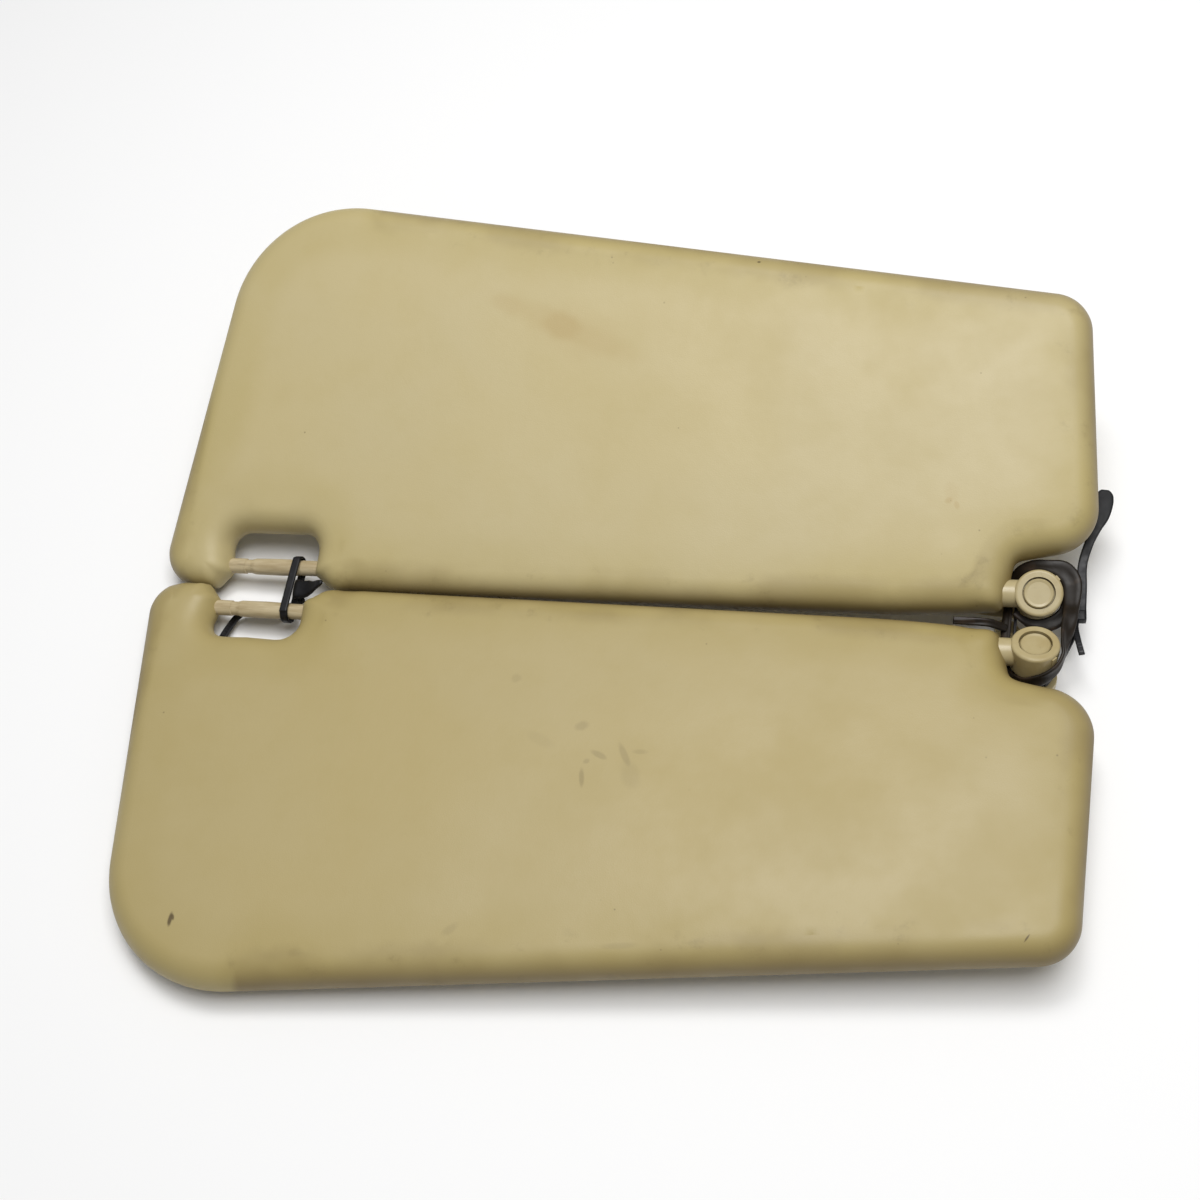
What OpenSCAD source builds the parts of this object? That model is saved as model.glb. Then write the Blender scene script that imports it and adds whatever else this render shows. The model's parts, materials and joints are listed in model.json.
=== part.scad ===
// A bound pair of car sun visors, left and right hand, laid hinge edge to hinge edge.
// Each visor is built in its own frame: the hinge rod lies along X through the origin, the pivot
// head is at the origin, the panel reaches along -X and +Y, and its visible face looks up (+Z).
// The lower visor is the upper one mirrored. Both are then laid on the floor as a bundle.

/* [Visor panel] */
// Half the thickness of the panel, and the radius of its rounded edge round the hinge rod
nose_r = 10.8; // [9.5:0.1:12.5]
// Pivot to the clip-end edge, along the hinge line
clip_edge_reach = 390.5; // [384:0.5:430]
// Lean of the clip-end edge towards the pivot, in degrees
clip_edge_lean = 9.1; // [6:0.1:11]
// How far the panel passes the pivot, at the hinge line
pivot_edge_reach = 25.3; // [22:0.1:32]
// Lean of the pivot-end edge, in degrees
pivot_edge_lean = 3; // [0:0.1:5]
// Hinge line to the far edge, at the pivot
far_edge_depth = 130.3; // [110:0.5:160]
// Slope of the far edge away from the hinge line, in degrees
far_edge_slope = 7.7; // [4:0.1:10]
// Corner radius, far corner at the clip end
far_clip_corner_r = 56.5; // [30:0.5:70]
// Corner radius, far corner at the pivot end
far_pivot_corner_r = 17.5; // [13:0.5:30]
// Corner radius, near corner at the clip end
tip_corner_r = 16; // [12:0.5:17]
// Thickness of the vinyl cover
skin_t = 1.2; // [0.8:0.1:1.8]
// Thickness of the stiffening board in the middle of the panel
board_t = 2.4; // [1.6:0.1:3.2]
// Distance of the board from the edge of the panel
board_inset = 6; // [4:0.5:8]
// Gap between foam and its neighbours
foam_gap = 0.3; // [0.2:0.05:0.5]

// How far the near edge falls back beside the notch
near_relief = 2.8; // [1:0.1:3.5]
// Middle of the long curve by which it falls back, from the pivot
near_relief_at = 47.5; // [44:0.5:60]
// Radius of that curve
near_relief_r = 560; // [400:10:600]

/* [Pivot notch] */
// Pivot to the near edge's end beside the notch
notch_mouth = 14.2; // [13.5:0.1:17]
// Pivot to the inner corner of the notch, along the hinge line
notch_corner_x = 9.5; // [8:0.1:12]
// Hinge line to the inner corner of the notch
notch_depth = 13.4; // [12.5:0.1:16]
// Slope of the notch's inner side, in degrees
notch_slope = 11.4; // [8:0.1:14]
// Radius of the notch's inner corner
notch_inner_r = 5; // [3:0.5:6]
// Radius of the corner between the notch and the pivot-end edge
notch_outer_r = 20; // [14:0.5:22]
// Radius of the corner between the near edge and the notch
notch_lip_r = 4; // [2:0.5:5]

/* [Clip slot] */
// Clip-end edge to the slot, at the hinge line
slot_margin = 31; // [26:0.1:45]
// Length of the slot, along the hinge line
slot_len = 43.9; // [38:0.1:46]
// Hinge line to the inner side of the slot
slot_depth = 15.7; // [13:0.1:20]
// Corner radius of the slot
slot_r = 8; // [5:0.5:9]
// How far the panel closes in on the clip bar at each end of the slot
neck_step = 1.9; // [1:0.1:2.5]
// Hinge line to the panel's edge beside the clip bar
neck_v = 3.2; // [2.8:0.1:4]
// Length of the shoulder from the neck to the near edge, pivot side
shoulder_len = 10.4; // [9:0.1:14]
// Length of the shoulder from the neck to the near edge, clip side
tip_shoulder_len = 6.9; // [6.5:0.1:8]
// Radius of the pivot-side shoulder
shoulder_r = 9; // [6:0.5:10]
// Radius of the small corners at the neck and the tip's shoulder
neck_r = 3; // [2:0.5:4]

/* [Clip bar] */
// Radius of the clip bar
bar_r = 3.5; // [2.8:0.1:4]
// How much the middle of the clip bar bulges
bar_bulge = 0.35; // [0:0.05:0.6]
// How far the clip bar reaches into the panel at each end
bar_grip = 13; // [11:0.5:14]
// Outer radius of the sockets that hold the bar
socket_r = 6; // [5.2:0.1:6.5]
// Length of each socket
socket_len = 8; // [7:0.5:9]

/* [Hinge] */
// Radius of the steel rod
rod_r = 3.75; // [3:0.05:4.2]
// Pivot to the inner end of the rod
rod_reach = 150; // [120:1:190]
// Outer radius of the sleeve in which the rod turns
sleeve_r = 6; // [5.6:0.1:6.4]
// Wall of the sleeve
sleeve_wall = 1; // [0.6:0.1:1.2]
// Pivot to the near end of the sleeve
sleeve_start = 26; // [24:0.5:32]
// Length of each of the two plastic bushes
bush_len = 10; // [6:1:16]
// Length of the friction spring
spring_len = 35; // [20:1:50]
// Radial clearance between the turning rod and its bushes
rod_play = 0.05; // [0.02:0.01:0.1]
// Width of the sheet tab that joins the sleeve or a socket to the board
tab_w = 14; // [10:0.5:20]
// Thickness of that tab
tab_t = 1.5; // [1:0.1:2]
// Radius of the rivets
rivet_r = 1.6; // [1.2:0.1:2]

/* [Elbow] */
// Radius of the ring-shaped pivot head
head_r = 9.8; // [9:0.1:11]
// Height of the pivot head
head_h = 12.6; // [11.8:0.1:14]
// Radius of the barrel that holds the rod
barrel_r = 5.75; // [5:0.05:5.8]
// Pivot to the end of the barrel
barrel_reach = 21; // [18:0.5:23]
// Radius of the sunk place in the head's top
head_bore_r = 6.7; // [6:0.1:7.2]
// Radius of the round cap in the head's top
cap_r = 6.05; // [5.4:0.05:6.5]
// Rounding of the head's edges
head_round = 1.2; // [0.4:0.1:2]

/* [Base] */
// Radius of the pivot pin
pin_r = 4; // [3:0.05:4.5]
// Radial clearance between the pin and the turning head
pin_play = 0.05; // [0.02:0.01:0.1]
// Height of the gap with the spring washer, between head and base
washer_t = 0.9; // [0.6:0.1:1.5]
// Radius of the boss on the base plate, and of the spring washer
boss_r = 7; // [6:0.1:8]
// Height of the boss
boss_h = 6.6; // [6.2:0.1:9]
// Thickness of the base plate
base_t = 3; // [2:0.1:4]
// Radius of the base plate round the pin
base_round_r = 10; // [9:0.1:12]
// Pin to the outer screw hole
outer_screw_d = 29; // [24:0.5:32]
// Pin to the inner screw hole
inner_screw_d = 14.5; // [13.5:0.5:16]
// Radius of the base plate's narrow end
base_end_r = 4.5; // [4:0.1:6]
// Radius of the screw holes
screw_r = 2.1; // [1.6:0.05:2.4]
// Radius of the countersinks
countersink_r = 4; // [3.2:0.1:4.2]

/* [Bundle] */
// How far the upper visor's far edge is raised, in degrees
upper_lift = 20.3; // [5:0.1:30]
// Distance between the two pivots, across the hinge line
pivot_gap = 27.8; // [27:0.1:32]
// How far the lower pivot lies behind the upper one, along the hinge line
pivot_offset = 1.3; // [0:0.1:4]
// Angle by which the lower hinge line closes in on the upper one, in degrees
lower_yaw = 0.9; // [0:0.05:0.9]
// Turn of the upper arm about its rod, in degrees
upper_arm_turn = 5; // [0:0.1:6]
// Turn of the lower arm about its rod, in degrees
lower_arm_turn = 14.2; // [0:0.1:16]
// Direction of the upper base plate, in degrees from the hinge line
upper_base_turn = 186; // [180:1:190]
// Direction of the lower base plate, in degrees from the hinge line
lower_base_turn = -112; // [-125:1:-95]
// Width of the cable tie round the clip bars
bar_tie_w = 3.5; // [2.5:0.1:4]
// Thickness of the cable ties
tie_t = 1.2; // [0.8:0.1:1.4]
// Thickness of the soft strap round the heads
strap_t = 1.4; // [0.8:0.1:1.6]
// Gap between a tie and what it holds
tie_gap = 0.3; // [0.15:0.05:0.4]

/* [Hidden] */
$fn = 48;

VINYL = [0.80, 0.73, 0.53];
FOAM = [0.90, 0.84, 0.62];
BOARD = [0.55, 0.42, 0.28];
STEEL = [0.66, 0.66, 0.68];
NYLON = [0.86, 0.84, 0.78];
CREAM = [0.85, 0.79, 0.62];
BLACK = [0.06, 0.06, 0.07];
BROWN = [0.13, 0.09, 0.07];

// Steps in a quarter turn of the panel's rounded edge, outside and inside
rim_steps = 6;
inner_rim_steps = 3;
// Sheets in each foam pad
foam_sheets = 3;
// Smallest corner radius that an inset outline keeps
least_corner_r = 0.4;
// Overrun of every cut, so that no skin is left
cut = 1;
// Thin play between pieces fixed to each other
fixed_play = 0.02;

slot_end = clip_edge_reach - slot_margin;
slot_start = slot_end - slot_len;
sleeve_bore_r = sleeve_r - sleeve_wall;
sleeve_end = rod_reach + 2;
channel_r = sleeve_r + foam_gap;
bar_start = slot_start - bar_grip;
bar_end = slot_end + bar_grip;
socket_channel_r = socket_r + foam_gap;
cap_bottom = 2.5;
cap_flange_t = 1;
pin_head_t = 2;
pin_head_r = head_bore_r - 0.4;
// Pivot to the rod's outer end, inside the elbow
rod_seat = head_bore_r + 0.8;
head_half = head_h / 2;
// How far the small nub stands out of the head's side
nub_out = 0.5;
boss_top = -head_half - washer_t - 2 * pin_play;
plate_top = boss_top - boss_h;
plate_bottom = plate_top - base_t;

// ---- Lying on the floor ----
// The lower base plate's narrow end touches the floor, and so does the panel's clip end.
plate_tip_drop = sin(-lower_base_turn) * outer_screw_d + base_end_r;
plate_tip_back = pivot_offset - cos(lower_base_turn) * outer_screw_d;
plate_depth = -plate_bottom * cos(lower_arm_turn) + plate_tip_drop * sin(lower_arm_turn);
flat_end = clip_edge_reach - tip_corner_r / 2;
floor_slope = atan((plate_depth - nose_r) / (flat_end - plate_tip_back));
pivot_height = plate_depth * cos(floor_slope) + plate_tip_back * sin(floor_slope);
// Origin of the part: middle of the bundle's box, on the floor
far_corner_v = far_edge_depth + tan(far_edge_slope) * (clip_edge_reach - far_clip_corner_r);
box_mid_x = (pivot_edge_reach - clip_edge_reach) / 2 + 3;
box_mid_y = (far_corner_v * cos(upper_lift) - pivot_gap - far_corner_v) / 2 + 2;

module bundle() {
    translate([-box_mid_x, -box_mid_y, pivot_height])
        rotate([0, -floor_slope, 0])
            children();
}
module upper_visor() {
    bundle() rotate([upper_lift, 0, 0]) children();
}
module lower_visor() {
    bundle() translate([-pivot_offset, -pivot_gap, 0])
        rotate([0, 0, -lower_yaw]) mirror([0, 1, 0]) children();
}
module upper_arm() {
    upper_visor() rotate([upper_arm_turn, 0, 0]) children();
}
module lower_arm() {
    lower_visor() rotate([lower_arm_turn, 0, 0]) children();
}

// ---- Outline of the panel ----
near_v = -nose_r;
clip_tip_x = -clip_edge_reach - tan(clip_edge_lean) * nose_r;
// Where the leaning edges cross the sloping far edge
far_slope = tan(far_edge_slope);
clip_slope = tan(clip_edge_lean);
pivot_slope = tan(pivot_edge_lean);
far_clip_v = (far_edge_depth + far_slope * clip_edge_reach) / (1 + far_slope * clip_slope);
far_clip_x = -(clip_edge_reach - clip_slope * far_clip_v);
far_pivot_v = (far_edge_depth - far_slope * pivot_edge_reach) / (1 - far_slope * pivot_slope);
far_pivot_x = pivot_edge_reach - pivot_slope * far_pivot_v;
notch_run = notch_corner_x + pivot_edge_reach;
notch_outer_v = notch_depth + tan(notch_slope) * notch_run;
notch_outer_x = pivot_edge_reach - pivot_slope * notch_outer_v;

// Each corner is [x, y, radius], counter-clockwise
CORNERS = [
    [clip_tip_x, near_v, tip_corner_r],
    [-slot_end + neck_step - tip_shoulder_len, near_v, neck_r],
    [-slot_end + neck_step, -neck_v, neck_r],
    [-slot_end, slot_depth, slot_r],
    [-slot_start, slot_depth, slot_r],
    [-slot_start - neck_step, -neck_v, neck_r],
    [-slot_start - neck_step + shoulder_len, near_v, shoulder_r],
    [-near_relief_at, near_v, near_relief_r],
    [-notch_mouth, near_v + near_relief, notch_lip_r],
    [-notch_corner_x, notch_depth, notch_inner_r],
    [notch_outer_x, notch_outer_v, notch_outer_r],
    [far_pivot_x, far_pivot_v, far_pivot_corner_r],
    [far_clip_x, far_clip_v, far_clip_corner_r]
];

function unit(v) = v / norm(v);
function left_of(d) = [-d.y, d.x];
function turned(v, a) = [v.x * cos(a) - v.y * sin(a), v.x * sin(a) + v.y * cos(a)];
function flat(p) = [p.x, p.y];
function corner(i) = CORNERS[(i + len(CORNERS)) % len(CORNERS)];
function direction(i) = unit(flat(corner(i + 1)) - flat(corner(i)));
function arc_steps(r) = min(3 + ceil(sqrt(r) * 1.1), 12);
// One rounded corner of the outline moved inwards by inset, as points along its arc
function corner_arc(i, inset) =
    let (
        before = direction(i - 1),
        after = direction(i),
        turn = atan2(before.x * after.y - before.y * after.x, before * after),
        side = turn > 0 ? 1 : -1,
        n0 = left_of(before),
        n1 = left_of(after),
        tip = flat(corner(i)) + (n0 + n1) / (1 + n0 * n1) * inset,
        r = max(corner(i)[2] - side * inset, least_corner_r),
        start = tip - before * r * tan(abs(turn) / 2),
        centre = start + n0 * side * r,
        steps = arc_steps(corner(i)[2])
    )
    [for (k = [0 : steps]) centre + turned(start - centre, turn * k / steps)];
function outline(inset) = [for (i = [0 : len(CORNERS) - 1]) each corner_arc(i, inset)];
// A ring of the panel's rounded edge: a circle of radius nose_r - depth, at angle a above mid-plane
function rim_ring(depth, a) =
    let (r = nose_r - depth)
    [for (p = outline(depth + r * (1 - cos(a)))) [p.x, p.y, r * sin(a)]];

// A closed solid through a stack of rings with as many points each
module ring_stack(rings) {
    n = len(rings[0]);
    last = len(rings) - 1;
    polyhedron(
        points = [for (ring = rings) each ring],
        faces = concat(
            [[for (k = [0 : n - 1]) k]],
            [for (j = [0 : last - 1]) for (k = [0 : n - 1])
                let (a = j * n + k, b = j * n + (k + 1) % n)
                each [[a, a + n, b], [b, a + n, b + n]]],
            [[for (k = [n - 1 : -1 : 0]) last * n + k]]
        )
    );
}
module x_cylinder(from, to, r) {
    translate([from, 0, 0]) rotate([0, 90, 0]) cylinder(h = to - from, r = r);
}
// A ring or part of a ring round the X axis
module x_ring(from, to, inner, outer, angle = 360) {
    translate([from, 0, 0]) rotate([0, 90, 0]) rotate_extrude(angle = angle)
        translate([inner, 0]) square([outer - inner, to - from]);
}

// ---- Soft panel ----
module cover_half() {
    skin_rings = [for (k = [inner_rim_steps : -1 : 0]) rim_ring(skin_t, 90 * k / inner_rim_steps)];
    outer_rings = [for (k = [0 : rim_steps]) rim_ring(0, 90 * k / rim_steps)];
    difference() {
        ring_stack(concat(skin_rings, outer_rings));
        x_cylinder(-notch_mouth - 2 * skin_t - cut, cut, channel_r);
        x_cylinder(-slot_end - 2 * skin_t - cut, -slot_start + 2 * skin_t + cut, bar_r + tie_gap);
    }
}
// Each pad is built up from flat sheets, cut back in steps that follow the rounded skin
module foam_half() {
    depth = skin_t + foam_gap;
    r = nose_r - depth;
    bottom = board_t / 2 + foam_gap;
    difference() {
        for (k = [1 : foam_sheets]) {
            below = k == 1 ? bottom : r * sin(90 * (k - 1) / foam_sheets);
            angle = 90 * k / foam_sheets;
            translate([0, 0, below]) linear_extrude(r * sin(angle) - below)
                polygon(outline(depth + r * (1 - cos(angle))));
        }
        x_cylinder(-sleeve_end - foam_gap, cut, channel_r);
        x_cylinder(-bar_end - foam_gap, -bar_start + foam_gap, socket_channel_r);
        tab_pockets();
    }
}
// Room in the front foam for the tabs and rivet heads
module tab_pockets() {
    pocket_h = board_t / 2 + tab_t + rivet_head_t + foam_gap;
    for (t = TABS)
        translate([-t[1] - foam_gap, 0, 0])
            cube([t[1] - t[0] + 2 * foam_gap, tab_reach + foam_gap, pocket_h]);
}
// Room in the back foam for the rivets' other heads
module rivet_pockets() {
    for (p = RIVETS)
        translate([p.x, p.y, 0]) cylinder(h = board_t / 2 + rivet_head_t + foam_gap, r = rivet_head_r + foam_gap);
}
module front_cover() { color(VINYL) cover_half(); }
module back_cover() { color(VINYL) mirror([0, 0, 1]) cover_half(); }
module front_foam() { color(FOAM) foam_half(); }
module back_foam() {
    color(FOAM) mirror([0, 0, 1]) difference() {
        foam_half();
        rivet_pockets();
    }
}

// ---- Stiffening board and what is riveted to it ----
rivet_head_r = 3;
rivet_head_t = 1;
tab_reach = sleeve_r + tab_w;
rivet_v = sleeve_r + tab_w / 2 + 1;
// Start and end of each tab along the hinge line: sleeve, pivot-side socket, tip socket
tab_margin = 12;
TABS = [
    [sleeve_start + tab_margin, sleeve_end - tab_margin],
    [bar_start, bar_start + socket_len],
    [bar_end - socket_len, bar_end]
];
sleeve_rivets = 3;
rivet_pitch = (TABS[0][1] - TABS[0][0] - tab_margin) / (sleeve_rivets - 1);
RIVETS = concat(
    [for (k = [0 : sleeve_rivets - 1]) [-TABS[0][0] - tab_margin / 2 - k * rivet_pitch, rivet_v]],
    [for (t = [TABS[1], TABS[2]]) [-(t[0] + t[1]) / 2, rivet_v]]
);
module rivet_holes() {
    for (p = RIVETS)
        translate([p.x, p.y, -board_t]) cylinder(h = 4 * board_t, r = rivet_r + fixed_play);
}
module core_board() {
    color(BOARD) difference() {
        translate([0, 0, -board_t / 2]) linear_extrude(board_t) polygon(outline(board_inset));
        x_cylinder(-sleeve_end - foam_gap, pivot_edge_reach, channel_r);
        x_cylinder(-bar_end - foam_gap, -bar_start + foam_gap, socket_channel_r);
        rivet_holes();
    }
}
module tab(t) {
    translate([-t[1], 0, board_t / 2]) cube([t[1] - t[0], tab_reach, tab_t]);
}
module hinge_sleeve() {
    color(STEEL) difference() {
        union() {
            x_cylinder(-sleeve_end, -sleeve_start, sleeve_r);
            tab(TABS[0]);
        }
        x_cylinder(-sleeve_end - cut, -sleeve_start + cut, sleeve_bore_r);
        rivet_holes();
    }
}
module bar_sockets() {
    color(NYLON) difference() {
        for (t = [TABS[1], TABS[2]]) {
            x_cylinder(-t[1], -t[0], socket_r);
            tab(t);
        }
        x_cylinder(-bar_end - cut, -bar_start + cut, bar_r + fixed_play);
        rivet_holes();
    }
}
module rivets() {
    color(STEEL) for (p = RIVETS) translate([p.x, p.y, 0]) {
        translate([0, 0, -board_t / 2]) cylinder(h = board_t + tab_t, r = rivet_r);
        translate([0, 0, board_t / 2 + tab_t]) cylinder(h = rivet_head_t, r = rivet_head_r);
        translate([0, 0, -board_t / 2 - rivet_head_t]) cylinder(h = rivet_head_t, r = rivet_head_r);
    }
}
module clip_bar() {
    collar_w = 2.2;
    groove_d = 0.4;
    end_x = slot_end - neck_step;
    start_x = slot_start + neck_step;
    groove = end_x - 3 * collar_w;
    middle = (groove + start_x) / 2;
    color(CREAM) rotate([0, -90, 0]) rotate_extrude()
        polygon([
            [0, bar_start], [bar_r, bar_start], [bar_r, start_x + 3 * collar_w],
            [bar_r - groove_d / 2, start_x + 3.2 * collar_w],
            [bar_r + bar_bulge / 2, start_x + 4 * collar_w],
            [bar_r + bar_bulge, middle], [bar_r + bar_bulge / 2, groove - 2 * collar_w],
            [bar_r - groove_d, groove - collar_w], [bar_r - groove_d, groove],
            [bar_r, groove + groove_d], [bar_r, bar_end], [0, bar_end]
        ]);
}

// ---- Hinge ----
module rod_bushes() {
    color(NYLON) for (x = [sleeve_start + 2, sleeve_end - 10 - bush_len])
        x_ring(-x - bush_len, -x, rod_r + rod_play, sleeve_bore_r - fixed_play);
}
module friction_spring() {
    spring_start = sleeve_start + 30;
    gap_angle = 60;
    color(STEEL)
        x_ring(-spring_start - spring_len, -spring_start, rod_r + rod_play,
            sleeve_bore_r - fixed_play, 360 - gap_angle);
}
clip_groove_x = rod_reach - 4;
clip_t = 1;
clip_groove_r = rod_r - 0.75;
module rod() {
    chamfer = 0.8;
    rod_start = rod_seat;
    groove_end = clip_groove_x + clip_t + 2 * fixed_play;
    color(STEEL) rotate([0, -90, 0]) rotate_extrude()
        polygon([
            [0, rod_start], [rod_r, rod_start], [rod_r, clip_groove_x],
            [clip_groove_r, clip_groove_x], [clip_groove_r, groove_end], [rod_r, groove_end],
            [rod_r, rod_reach - chamfer], [rod_r - chamfer, rod_reach], [0, rod_reach]
        ]);
}
module rod_clip() {
    color(STEEL)
        x_ring(-clip_groove_x - fixed_play - clip_t, -clip_groove_x - fixed_play,
            clip_groove_r + fixed_play, sleeve_bore_r - 3 * rod_play, 300);
}

// ---- Elbow: pivot head and barrel in one moulding, with its cap ----
function rounded_corner(centre, r, from, to) =
    [for (k = [0 : 4]) let (a = from + (to - from) * k / 4) centre + r * [cos(a), sin(a)]];
module head_solid() {
    rotate_extrude($fn = 96)
        polygon(concat(
            [[0, -head_half]],
            rounded_corner([head_r - head_round, -head_half + head_round], head_round, -90, 0),
            rounded_corner([head_r - head_round, head_half - head_round], head_round, 0, 90),
            [[0, head_half]]
        ));
}
module elbow() {
    nub_turn = 42;
    nub = 2.4;
    nub_h = head_half - head_round - 0.4;
    color(CREAM) difference() {
        union() {
            head_solid();
            x_cylinder(-barrel_reach, 0, barrel_r);
            rotate([0, 0, nub_turn]) translate([head_r - nub + nub_out, -nub / 2, 0])
                cube([nub, nub, nub_h]);
        }
        cylinder(h = head_half + cut, r = head_bore_r);
        translate([0, 0, -head_half - cut]) cylinder(h = head_h, r = pin_r + pin_play);
        x_cylinder(-barrel_reach - cut, -rod_seat, rod_r + fixed_play);
    }
}
module head_cap() {
    cap_top = head_half - 0.5;
    dish = 0.25;
    color(CREAM) rotate_extrude($fn = 96)
        polygon([
            [0, cap_bottom], [head_bore_r - fixed_play, cap_bottom],
            [head_bore_r - fixed_play, cap_bottom + cap_flange_t], [cap_r, cap_bottom + cap_flange_t],
            [cap_r, cap_top - 0.4], [cap_r - 0.4, cap_top], [cap_r - 1.4, cap_top - dish],
            [0, cap_top - dish]
        ]);
}

// ---- Base that is screwed to the roof ----
// Centre of each circle and half-width line make one tapered plate
// The straight flanks lie this far inside the round ends' tangents, so that they cross the ends
flank_inset = 0.02;
module tapered_plate(r1, r2, d, h) {
    a = acos((r1 - r2) / d);
    in1 = r1 - flank_inset;
    in2 = r2 - flank_inset;
    cylinder(h = h, r = r1, $fn = 96);
    translate([d, 0, 0]) cylinder(h = h, r = r2);
    linear_extrude(h) polygon([
        in1 * [cos(a), sin(a)], in1 * [cos(a), -sin(a)],
        [d, 0] + in2 * [cos(a), -sin(a)], [d, 0] + in2 * [cos(a), sin(a)]
    ]);
}
module base_plate() {
    countersink_h = countersink_r - screw_r;
    color(CREAM) difference() {
        union() {
            translate([0, 0, plate_bottom])
                tapered_plate(base_round_r, base_end_r, outer_screw_d, base_t);
            translate([0, 0, plate_top]) cylinder(h = boss_h, r = boss_r);
        }
        translate([0, 0, plate_bottom - cut]) cylinder(h = base_t + boss_h + 2 * cut, r = pin_r + fixed_play);
        for (d = [inner_screw_d, outer_screw_d]) translate([d, 0, 0]) {
            translate([0, 0, plate_bottom - cut]) cylinder(h = base_t + 2 * cut, r = screw_r);
            translate([0, 0, plate_top - countersink_h])
                cylinder(h = countersink_h + 0.01, r1 = screw_r, r2 = countersink_r + 0.01);
        }
    }
}
module pivot_pin() {
    color(STEEL) {
        translate([0, 0, plate_bottom]) cylinder(h = -plate_bottom + pin_play, r = pin_r);
        translate([0, 0, pin_play]) cylinder(h = pin_head_t, r = pin_head_r);
    }
}
module spring_washer() {
    color(STEEL) translate([0, 0, boss_top]) difference() {
        cylinder(h = washer_t, r = boss_r);
        translate([0, 0, -cut]) cylinder(h = washer_t + 2 * cut, r = pin_r + pin_play);
    }
}

// ---- Ties and strap: soft bands swept along a path ----
function blend(p0, p1, p2, p3, t) = 0.5 * (2 * p1 + (p2 - p0) * t
    + (2 * p0 - 5 * p1 + 4 * p2 - p3) * t * t + (3 * p1 - p0 - 3 * p2 + p3) * t * t * t);
// A smooth run through the points, with the given steps between two of them
function smooth_open(p, steps) =
    let (last = len(p) - 1)
    [for (i = [0 : last - 1]) for (k = [0 : i == last - 1 ? steps : steps - 1])
        blend(p[max(i - 1, 0)], p[i], p[i + 1], p[min(i + 2, last)], k / steps)];
function smooth_closed(p, steps) =
    let (n = len(p))
    [for (i = [0 : n - 1]) for (k = [0 : steps - 1])
        blend(p[(i + n - 1) % n], p[i], p[(i + 1) % n], p[(i + 2) % n], k / steps)];
// A band of width w along the wide directions and thickness t, with softened corners
function band_section(w, t) =
    let (c = t / 3)
    [[-w / 2 + c, -t / 2], [w / 2 - c, -t / 2], [w / 2, -t / 2 + c], [w / 2, t / 2 - c],
        [w / 2 - c, t / 2], [-w / 2 + c, t / 2], [-w / 2, t / 2 - c], [-w / 2, -t / 2 + c]];
function band_ring(path, wide, i, w, t, closed) =
    let (
        n = len(path),
        ahead = closed ? path[(i + 1) % n] : path[min(i + 1, n - 1)],
        behind = closed ? path[(i + n - 1) % n] : path[max(i - 1, 0)],
        along = unit(ahead - behind),
        thick = unit(cross(along, wide[i])),
        broad = cross(thick, along)
    )
    [for (s = band_section(w, t)) path[i] + broad * s.x + thick * s.y];
// Each knot is [point, wide direction, width]
module band(knots, t, closed = false) {
    steps = 3;
    points = [for (k = knots) k[0]];
    wides = [for (k = knots) k[1]];
    widths = [for (k = knots) k[2]];
    path = closed ? smooth_closed(points, steps) : smooth_open(points, steps);
    wide = closed ? smooth_closed(wides, steps) : smooth_open(wides, steps);
    width = closed ? smooth_closed(widths, steps) : smooth_open(widths, steps);
    n = len(path);
    m = len(band_section(widths[0], t));
    rings = [for (i = [0 : n - 1]) band_ring(path, wide, i, width[i], t, closed)];
    polyhedron(
        points = [for (r = rings) each r],
        faces = concat(
            [for (j = [0 : closed ? n - 1 : n - 2]) for (k = [0 : m - 1])
                let (a = j * m + k, b = j * m + (k + 1) % m,
                    c = ((j + 1) % n) * m + k, d = ((j + 1) % n) * m + (k + 1) % m)
                each [[a, c, b], [b, c, d]]],
            closed ? [] : [[for (k = [0 : m - 1]) k], [for (k = [m - 1 : -1 : 0]) (n - 1) * m + k]]
        )
    );
}
// Points of the two arms' frames, in the bundle's frame
function tilted(p, a) = [p.x, p.y * cos(a) - p.z * sin(a), p.y * sin(a) + p.z * cos(a)];
function up_arm(p) = tilted(p, upper_lift + upper_arm_turn);
function lo_dir(p) = let (q = tilted(p, lower_arm_turn)) [q.x, -q.y, q.z];
function lo_arm(p) = lo_dir(p) + [-pivot_offset, -pivot_gap, 0];
function polar(r, a, z) = [r * cos(a), r * sin(a), z];
UP_AXIS = up_arm([0, 0, 1]);
LO_AXIS = lo_dir([0, 0, 1]);

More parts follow.
